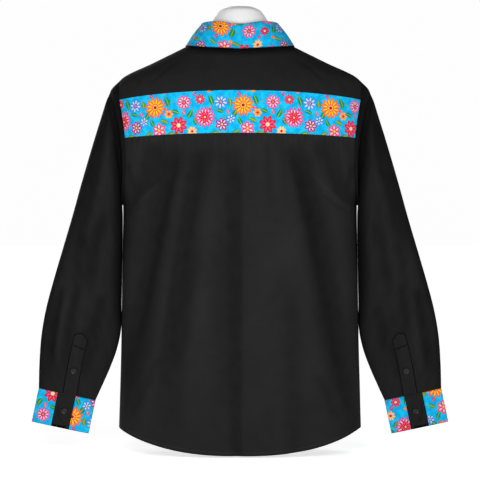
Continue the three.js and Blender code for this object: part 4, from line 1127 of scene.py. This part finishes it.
# Place u, v, length, half-width, turn in degrees, bend, and its colours: edge, leaf and vein.
GREEN_LEAF = (DARK_GREEN, GREEN, LIME)
OLIVE_LEAF = (DARK_GREEN, OLIVE, LIME)
PINK_BUD = (DARK_RED, PINK, WHITE)
LEAVES = [
    (50, 68, 11, 4.8, -70, -0.01, *GREEN_LEAF),
    (10, 42, 9.5, 4.6, 60, 0.02, *GREEN_LEAF),
    (44, 31, 9, 4.2, -25, -0.02, *OLIVE_LEAF),
    (56, 6, 9, 4.2, 20, -0.02, *OLIVE_LEAF),
    (66, 48, 8.5, 4, -20, -0.02, *GREEN_LEAF),
    (20, 28, 8.5, 4, -60, 0.02, *GREEN_LEAF),
    (12, 8, 8.5, 3.8, 30, -0.02, *OLIVE_LEAF),
    (2, 64, 9, 4.2, -80, -0.02, *OLIVE_LEAF),
    (48, 52, 5, 3.4, 80, 0, *PINK_BUD),
    (82, 46, 5, 3.4, -60, 0, *PINK_BUD),
    (46, 2, 5, 3.4, 20, 0, RED, ORANGE, YELLOW),
    (18, 80, 5, 3.4, -40, 0, PURPLE, MAGENTA, WHITE),
]

# Stems are arcs: centre u, v, radius, the direction of the middle and half the angle they span.
STEMS = [(60, 50, 17, 110, 38), (4, 32, 13, 160, 44), (30, 50, 15, 200, 40), (66, 20, 14, -60, 44)]

# A flower's parts, in shares of its radius, from under to over.
PETAL_CENTRE, PETAL_HALF, PETAL_INSIDE = 0.60, 0.40, 0.80
HEART_CENTRE, HEART_HALF, HEART_WIDTH = 0.52, 0.24, 0.36
RING, EYE, FLOWER_SOFTNESS = 0.27, 0.19, 0.07

# A leaf's rim and vein and a stem's half-width, in millimetres.
RIM_WIDTH, VEIN_WIDTH, VEIN_END, VEIN_SOFTNESS = 0.7, 0.45, 0.8, 0.3
STEM_WIDTH, STEM_END_SOFTNESS, LINE_SOFTNESS = 0.85, 0.05, 0.4


def new_group(name, numbers, colours):
    """A group that lays one motif over the colour under it, with its x and y from the centre."""
    group = bpy.data.node_groups.new(name, "ShaderNodeTree")
    kinds = {"Under": "Color", "Cloth": "Vector", "Centre": "Vector", "Repeat": "Vector"}
    kinds |= dict.fromkeys(numbers.split(), "Float") | dict.fromkeys(colours.split(), "Color")
    for key, kind in kinds.items():
        group.interface.new_socket(name=key, in_out="INPUT", socket_type="NodeSocket" + kind)
    group.interface.new_socket(name="Colour", in_out="OUTPUT", socket_type="NodeSocketColor")
    tree = Tree(group)
    sockets = group.nodes.new("NodeGroupInput").outputs
    given = {socket.name: Field(tree, socket) for socket in sockets}
    low, high = (tree.vector("MULTIPLY", given["Repeat"], (s, s, s)) for s in (-0.5, 0.5))
    away = tree.vector("SUBTRACT", given["Cloth"], given["Centre"])
    x, y, _ = tree.split(tree.vector("WRAP", away, high, low))
    return group, tree, given, x, y


def finish_group(group, tree, colour):
    tree.give(group.nodes.new("NodeGroupOutput").inputs[0], colour)
    return group


def flower_group():
    group, tree, given, x, y = new_group(
        "flower", "Radius Petals Turn Width", "Rim Petal Heart Ring Eye")
    radius = tree.hypot(x, y) / given["Radius"]
    angle = tree.math("ARCTAN2", y, x) + given["Turn"]
    half_slice = math.pi / given["Petals"]
    folded = tree.math("WRAP", angle, half_slice, half_slice * -1.0)
    along, across = (radius * tree.math(turn, folded) for turn in ("COSINE", "SINE"))

    def ellipse(centre, half_length, half_width):
        """1 on the ellipse's edge and less inside it."""
        return tree.hypot((along - centre) / half_length, across / half_width)

    petal = ellipse(PETAL_CENTRE, PETAL_HALF, given["Width"])
    heart = ellipse(HEART_CENTRE, HEART_HALF, given["Width"] * HEART_WIDTH)
    colour = given["Under"]
    layers = {"Rim": 1.0 - petal, "Petal": PETAL_INSIDE - petal, "Heart": 1.0 - heart,
              "Ring": RING - radius, "Eye": EYE - radius}
    for over, amount in layers.items():
        colour = tree.mix(tree.inside(amount, FLOWER_SOFTNESS), colour, given[over])
    return finish_group(group, tree, colour)


def leaf_group():
    group, tree, given, x, y = new_group("leaf", "Length Width Turn Bend", "Rim Leaf Vein")
    cos, sin = tree.math("COSINE", given["Turn"]), tree.math("SINE", given["Turn"])
    along, across = x * cos + y * sin, y * cos - x * sin
    from_middle = tree.math("ABSOLUTE", across - given["Bend"] * (along * along))
    share = along / given["Length"]
    amount = given["Width"] * (1.0 - share * share) - from_middle
    vein = (tree.inside(VEIN_WIDTH - from_middle, VEIN_SOFTNESS)
            * tree.inside(amount - VEIN_END, LINE_SOFTNESS))
    colour = tree.mix(tree.inside(amount, LINE_SOFTNESS), given["Under"], given["Rim"])
    colour = tree.mix(tree.inside(amount - RIM_WIDTH, LINE_SOFTNESS), colour, given["Leaf"])
    return finish_group(group, tree, tree.mix(vein, colour, given["Vein"]))


def stem_group():
    group, tree, given, x, y = new_group("stem", "Radius Turn Span", "Line")
    angle = tree.math("WRAP", tree.math("ARCTAN2", y, x) - given["Turn"], math.pi, -math.pi)
    from_line = tree.math("ABSOLUTE", tree.hypot(x, y) - given["Radius"])
    line = tree.inside(STEM_WIDTH - from_line, LINE_SOFTNESS)
    kept = tree.inside(given["Span"] - tree.math("ABSOLUTE", angle), STEM_END_SOFTNESS)
    return finish_group(group, tree, tree.mix(line * kept, given["Under"], given["Line"]))


def printed_ground(tree, cloth):
    """The printed cloth's colour: its motifs laid over a mottled turquoise ground."""
    mottle = tree.inside(tree.noise(cloth, 0.09, 3.0) - 0.42, 0.2)
    colour = tree.mix(mottle, *TURQUOISE)
    stems = ("Radius", "Turn", "Span", "Line")
    leaves = ("Length", "Width", "Turn", "Bend", "Rim", "Leaf", "Vein")
    flowers = ("Radius", "Petals", "Turn", "Width", "Rim", "Petal", "Heart", "Ring", "Eye")
    kinds = (
        (stem_group(), LEAF_REPEAT, stems, [(*stem, OLIVE) for stem in STEMS]),
        (leaf_group(), LEAF_REPEAT, leaves, LEAVES),
        (flower_group(), REPEAT, flowers, FLOWERS),
    )
    for group, repeat, names, motifs in kinds:
        for u, v, *values in motifs:
            node = tree.tree.nodes.new("ShaderNodeGroup")
            node.node_tree = group
            sockets = {"Under": colour, "Cloth": cloth, "Centre": (u, v, 0.0), "Repeat": repeat}
            for key, value in (sockets | dict(zip(names, values))).items():
                in_degrees = key in ("Turn", "Span")
                tree.give(node.inputs[key], math.radians(value) if in_degrees else value)
            colour = Field(tree, node.outputs[0])
    return colour


# ---- The button, its thread and the form ----


def plain_material(name, tones, grain, bump, height, roughness=None, **shader_values):
    """A material of two tones.

    grain and bump are each a noise's stretch upwards, scale and detail. height is the bump's
    distance and strength. roughness is what the grain adds to it, and its least.
    """
    material, tree, shader = new_material(name, **shader_values)
    place = tree.made_by("ShaderNodeTexCoord", "Object")

    def noise(stretch, scale, detail):
        return tree.noise(tree.vector("MULTIPLY", place, (1.0, 1.0, stretch)), scale, detail)

    mottle = noise(*grain)
    tree.give(shader.inputs["Base Color"], tree.mix(mottle, *tones))
    if roughness:
        tree.give(shader.inputs["Roughness"], mottle * roughness[0] + roughness[1])
    add_bump(tree, shader, noise(*bump), *height)
    return material


def black_button():
    return plain_material("black button", (srgb(5, 5, 6), srgb(14, 13, 13)), (2.5, 320.0, 3.0),
                          (1.0, 1400.0, 2.0), (0.00003, 0.5), (0.12, 0.3),
                          Specular_IOR_Level=0.34)


def button_thread():
    return plain_material("button thread", (srgb(14, 14, 15), srgb(34, 34, 36)), (4.0, 1800.0, 2.0),
                          (4.0, 1800.0, 2.0), (0.00008, 0.8), Roughness=0.8)


def pale_form():
    return plain_material("pale form", (srgb(238, 238, 238), srgb(246, 246, 246)), (1.0, 9.0, 4.0),
                          (1.0, 420.0, 3.0), (0.00012, 0.4), (0.2, 0.5),
                          Specular_IOR_Level=0.3)


# ---- Buttons ----

HOLE_RADIUS = 0.75
HOLE_OFFSET = 1.35
BUTTON_SIDES = 48
DISH = 0.75  # how deep the button's middle is
BAR_STEPS, BAR_SIDES = 9, 8
BAR_ARCH = 0.45
BAR_HALF_WIDTH, BAR_HALF_HEIGHT, BAR_SUNK = 0.4, 0.32, 0.2


def ring_faces(rings, sides):
    level, side = np.meshgrid(np.arange(rings - 1), np.arange(sides), indexing="ij")
    level, side = level.ravel() * sides, side.ravel()
    after = (side + 1) % sides
    above = level + sides
    return np.stack([level + side, level + after, above + after, above + side], axis=1)


def lathe(profile, sides):
    """Rings of points round the Z axis."""
    angle = np.linspace(0, 2 * math.pi, sides, endpoint=False)
    return np.concatenate([np.stack([r * np.cos(angle), r * np.sin(angle), 0 * angle + h], axis=1)
                           for r, h in profile])


def plain_mesh(name, points, faces):
    mesh = bpy.data.meshes.new(name)
    mesh.from_pydata((points * MM).tolist(), [], faces)
    return mesh


def closed_lathe(name, profile, sides):
    points = lathe(profile, sides)
    faces = ring_faces(len(profile), sides).tolist()
    last = (len(profile) - 1) * sides
    faces += [list(range(sides))[::-1], [last + i for i in range(sides)]]
    return plain_mesh(name, points, faces)


def button_shape():
    """The disc with a raised rim and a dished middle, drilled with four holes."""
    r, t = BUTTON_RADIUS, BUTTON_THICKNESS
    profile = [
        (r - 0.8, 0), (r - 0.2, 0.35), (r, 1.1), (r - 0.05, t - 0.9), (r - 0.35, t - 0.25),
        (r - 0.8, t), (r - 1.3, t - 0.05), (r - 1.9, t - 0.4), (r - 2.5, t - 0.7), (0.8, t - DISH),
    ]
    disc = placed("button blank", closed_lathe("button blank", profile, BUTTON_SIDES))
    drills = []
    for x in (-HOLE_OFFSET, HOLE_OFFSET):
        for y in (-HOLE_OFFSET, HOLE_OFFSET):
            drill_mesh = closed_lathe("drill", [(HOLE_RADIUS, -1), (HOLE_RADIUS, t + 1)], 20)
            drill = placed("drill", drill_mesh)
            drill.location = (x * MM, y * MM, 0)
            cut = disc.modifiers.new("hole", "BOOLEAN")
            cut.object = drill
            cut.solver = "EXACT"
            drills.append(drill)
    bpy.context.view_layer.update()
    depsgraph = bpy.context.evaluated_depsgraph_get()
    shape = bpy.data.meshes.new_from_object(disc.evaluated_get(depsgraph))
    for thing in [disc, *drills]:
        bpy.data.objects.remove(thing)
    return shape


def thread_bars():
    """Two crossed bars of thread over the holes, each a low arch of round section."""
    top = BUTTON_THICKNESS - DISH
    span = HOLE_OFFSET * math.sqrt(2) + 0.3
    points, faces = [], []
    for heading in (math.pi / 4, -math.pi / 4):
        along = np.array([math.cos(heading), math.sin(heading), 0])
        across = np.array([-along[1], along[0], 0])
        start = sum(len(p) for p in points)
        for share in np.linspace(-1, 1, BAR_STEPS):
            height = top + BAR_ARCH * (1 - share ** 4) - BAR_SUNK
            middle = along * span * share + np.array([0, 0, height])
            angle = np.linspace(0, 2 * math.pi, BAR_SIDES, endpoint=False)[:, None]
            points.append(middle + across * BAR_HALF_WIDTH * np.cos(angle)
                          + np.array([0, 0, BAR_HALF_HEIGHT]) * np.sin(angle))
        first = np.arange(start, start + BAR_SIDES)
        faces += (ring_faces(BAR_STEPS, BAR_SIDES) + start).tolist()
        faces += [first[::-1].tolist(), (first + (BAR_STEPS - 1) * BAR_SIDES).tolist()]
    return np.concatenate(points), faces


def make_buttons(places, button, thread):
    """A button at each place: a point, a normal and how far over the point its back lies."""
    shape = button_shape()
    bar_points, bar_faces = thread_bars()
    count = len(shape.vertices)
    disc_points = np.array([v.co for v in shape.vertices]) / MM
    disc_faces = [list(p.vertices) for p in shape.polygons]
    for name, (point, normal, lift) in places.items():
        turn = np.array(Vector((0, 0, 1)).rotation_difference(Vector(normal)).to_matrix())
        origin = np.asarray(point) + np.asarray(normal) * (lift + SEAM_GAP)
        points = np.concatenate([disc_points, bar_points]) @ turn.T + origin
        raised_faces = [[i + count for i in face] for face in bar_faces]
        mesh = plain_mesh(name, points, disc_faces + raised_faces)
        mesh.polygons.foreach_set("use_smooth", np.ones(len(mesh.polygons), bool))
        which = np.array([0] * len(disc_faces) + [1] * len(bar_faces), np.int32)
        for material in (button, thread):
            mesh.materials.append(material)
        mesh.polygons.foreach_set("material_index", which)
        mesh.set_sharp_from_angle(angle=math.radians(35))
        made[name] = placed(name, mesh)


def one(skin):
    """The point and normal of a skin that holds a single place."""
    points, normals, _ = skin
    return points.reshape(-1, 3)[0], normals.reshape(-1, 3)[0]


def button_places():
    places = {}
    neck_z = float(neckline(-math.pi / 2)[1])
    for i in range(FRONT_BUTTONS):
        z = neck_z - FRONT_BUTTON_TOP_DROP - FRONT_BUTTON_STEP * i
        on_front = one(body_skin(front_angle_at(0.0, z), z))
        places[f"button_front_{i + 1}_detail"] = (*on_front, TRIM_LIFT)
    normal = normal_of(stand_point, np.array(-math.pi / 2), np.array(0.5), 0.05, 0.1, 1)
    places["button_stand_detail"] = (stand_point(-math.pi / 2, 0.5), normal, 0.3)
    for side, folds, _ in ARMS:
        row = np.array([TOWER_BUTTON_ROW])
        on_tower = sleeve_skin(row, back_turn(row, TOWER_OFFSET), folds)
        turn = turn_at(np.array([CUFF_BUTTON_OFFSET]), CUFF_WIDTH, CUFF_SQUARENESS)
        on_cuff = cuff_skin(np.array([CUFF_HEIGHT / 2]), turn)
        for name, skin in (("placket", on_tower), ("cuff", on_cuff)):
            places[f"button_{name}_{side}_detail"] = (*one(on_side(skin, side)), TRIM_LIFT)
    return places


# ---- The torso form ----


def torso_form(material):
    sides = 120
    z = np.concatenate([np.linspace(0, 5, 4)[:-1], np.linspace(5, 720, 110)[:-1],
                        np.linspace(720, 858, 60)])
    angle = np.linspace(0, 2 * math.pi, sides, endpoint=False)
    body = section_point(read(FORM, "z", z[:, None]), angle, z[:, None])
    shrink = (0.6, 0.25, 0.01)
    below = [body[0] * np.array([s, s, 1]) for s in shrink[::-1]]
    above = [body[-1] * np.array([s, s, 1]) for s in shrink]
    points = np.concatenate([np.stack(below), body, np.stack(above)])
    mesh_object("form", points.reshape(-1, 3), ring_faces(len(points), sides), material, {})


# ---- The whole part ----

cotton = cotton_material("black cotton", black_ground, srgb(58, 58, 60), 0.6, 1.0,
                         Roughness=0.92, Specular_IOR_Level=0.04)
floral = cotton_material("floral cotton", printed_ground, srgb(20, 120, 165), 0.5, 0.5,
                         Roughness=0.88, Specular_IOR_Level=0.12)

shell("back_panel", back_panel(), cotton, stitched="low", inset=HEM_FOLD)
shell("band", yoke_band(), floral, cut_at=(20, 6))
# Painted shade darkens the yoke as a whole.
shell("shoulder_yoke", yoke(), cotton, piece_shade=0.25)
shell("left_front", front_skin(LEFT_FRONT_EDGE, True), cotton, stitched="low", inset=HEM_FOLD)
shell("right_front", mirrored(front_skin(-UNDER_FRONT_REACH, False)), cotton, stitched="low",
      inset=HEM_FOLD)
shell("front_strip", lifted(front_placket(), TRIM_LIFT), cotton, TRIM, stitched="left right")
shell("stand", collar_stand(), cotton, stitched="low high", inset=STRIP_FOLD)
shell("leaf", collar_leaf(), floral, stitched="high", cut_at=(66, 40))

# Painted shade darkens the sleeves and their strips as a whole.
for side, folds, cut_at in ARMS:
    shell(f"arm_{side}", on_side(sleeve(folds), side), cotton, closed=True, piece_shade=0.5)
    shell(f"tower_{side}", lifted(on_side(tower(folds), side), TRIM_LIFT), cotton, TRIM,
          stitched="left right low", inset=STRIP_FOLD, piece_shade=0.4)
    shell(f"wrist_{side}", on_side(cuff(), side), floral, closed=True, stitched="low high",
          cut_at=cut_at)
    shell(f"wrist_strip_{side}", lifted(on_side(cuff_strip(), side), TRIM_LIFT), cotton, TRIM,
          stitched="left right", inset=STRIP_FOLD, piece_shade=0.3)

make_buttons(button_places(), black_button(), button_thread())
torso_form(pale_form())

# Piece, the solid that it stands for, its slot, the cut's width, length and area in metres, how it
# is held, and what it rests on.
CLOTH_PIECES = [
    ("back_panel", "back", "black_cotton", 0.58, 0.61, 0.32, "hung", "yoke_band"),
    ("band", "yoke_band", "floral_cotton", 0.52, 0.1, 0.038, "hung", "yoke"),
    ("shoulder_yoke", "yoke", "black_cotton", 0.54, 0.24, 0.075, "draped", "torso_form"),
    ("left_front", "front_left", "black_cotton", 0.29, 0.72, 0.18, "hung", "yoke"),
    ("right_front", "front_right", "black_cotton", 0.32, 0.72, 0.2, "hung", "yoke"),
    ("front_strip", "front_placket", "black_cotton", 0.033, 0.74, 0.0244, "hung", "front_right"),
    ("stand", "collar_stand", "black_cotton", 0.5, 0.034, 0.0145, "folded", "yoke"),
    ("leaf", "collar_leaf", "floral_cotton", 0.58, 0.07, 0.0355, "folded", "collar_stand"),
]
for side in ("left", "right"):
    CLOTH_PIECES += [
        (f"arm_{side}", f"sleeve_{side}", "black_cotton", 0.5, 0.6, 0.174, "hung", "yoke"),
        (f"tower_{side}", f"sleeve_placket_{side}", "black_cotton", 0.028, 0.125, 0.0034, "hung",
         f"sleeve_{side}"),
        (f"wrist_{side}", f"cuff_{side}", "floral_cotton", 0.236, 0.0656, 0.0154, "hung",
         f"sleeve_{side}"),
        (f"wrist_strip_{side}", f"cuff_strip_{side}", "black_cotton", 0.035, 0.0656, 0.00229,
         "hung", f"cuff_{side}"),
    ]

for name, node, slot, width, length, area, held, rests_on in CLOTH_PIECES:
    piece = made[name]
    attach(piece, "root")
    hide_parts(node)

for name, piece in made.items():
    if name.endswith("_detail"):
        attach(piece, "root")
        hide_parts(name.removesuffix("_detail"))
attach(made["form"], "root")
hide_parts("torso_form")

# ---- Floor, light and camera ----

scene = bpy.context.scene
scene.view_settings.view_transform = "Standard"

FLOOR_REACH = 150  # metres, out to the horizon
FLOOR_CORNERS = ((-1, -1), (1, -1), (1, 1), (-1, 1))
floor_mesh = bpy.data.meshes.new("floor")
floor_mesh.from_pydata([(x * FLOOR_REACH, y * FLOOR_REACH, 0) for x, y in FLOOR_CORNERS],
                       [], [(0, 1, 2, 3)])
floor = placed("floor", floor_mesh)
floor_material, _, floor_shader = new_material("floor", Roughness=1.0, Specular_IOR_Level=0.0)
floor_shader.inputs["Base Color"].default_value = (0.97, 0.97, 0.97, 1)
floor_shader.inputs["Emission Color"].default_value = (1, 1, 1, 1)
floor_shader.inputs["Emission Strength"].default_value = 0.62
floor_mesh.materials.append(floor_material)

# The studio is white to look at and lights the part more softly than that.
world = bpy.data.worlds.new("studio")
world.use_nodes = True
studio = Tree(world.node_tree)
seen = studio.made_by("ShaderNodeLightPath", "Is Camera Ray")
studio.give(studio.tree.nodes["Background"].inputs["Color"],
            studio.mix(seen, (0.22, 0.22, 0.22, 1), (0.985, 0.985, 0.985, 1)))
scene.world = world


def sunlight(name, towards, strength, softness=35):
    """A soft light from far away, so that it falls evenly on the floor too."""
    light = bpy.data.lights.new(name, "SUN")
    light.energy = strength
    light.angle = math.radians(softness)
    placed(name, light).rotation_euler = Vector(towards).to_track_quat("Z", "Y").to_euler()


sunlight("fill", (-0.62, 0.72, 0.26), 0.5)
sunlight("front", (0.30, -0.90, 0.30), 1.7)

# The key is a soft lamp near the shirt's back, so the sleeves and hem are darker than the middle.
key_data = bpy.data.lights.new("key", "AREA")
key_data.shape = "DISK"
key_data.size = 0.7
key_data.energy = 8.5
key = placed("key", key_data)
key.location = (0.14, 1.2, 0.58)
key.rotation_euler = (Vector((0, 0, 0.48)) - key.location).to_track_quat("-Z", "Y").to_euler()
key.visible_camera = False

camera_data = bpy.data.cameras.new("camera")
camera_data.sensor_width = 36
camera_data.lens = 155.5
camera = placed("camera", camera_data)
camera.location = (0, 4, 0.4092)
camera.rotation_euler = (math.pi / 2, 0, math.pi)
scene.camera = camera
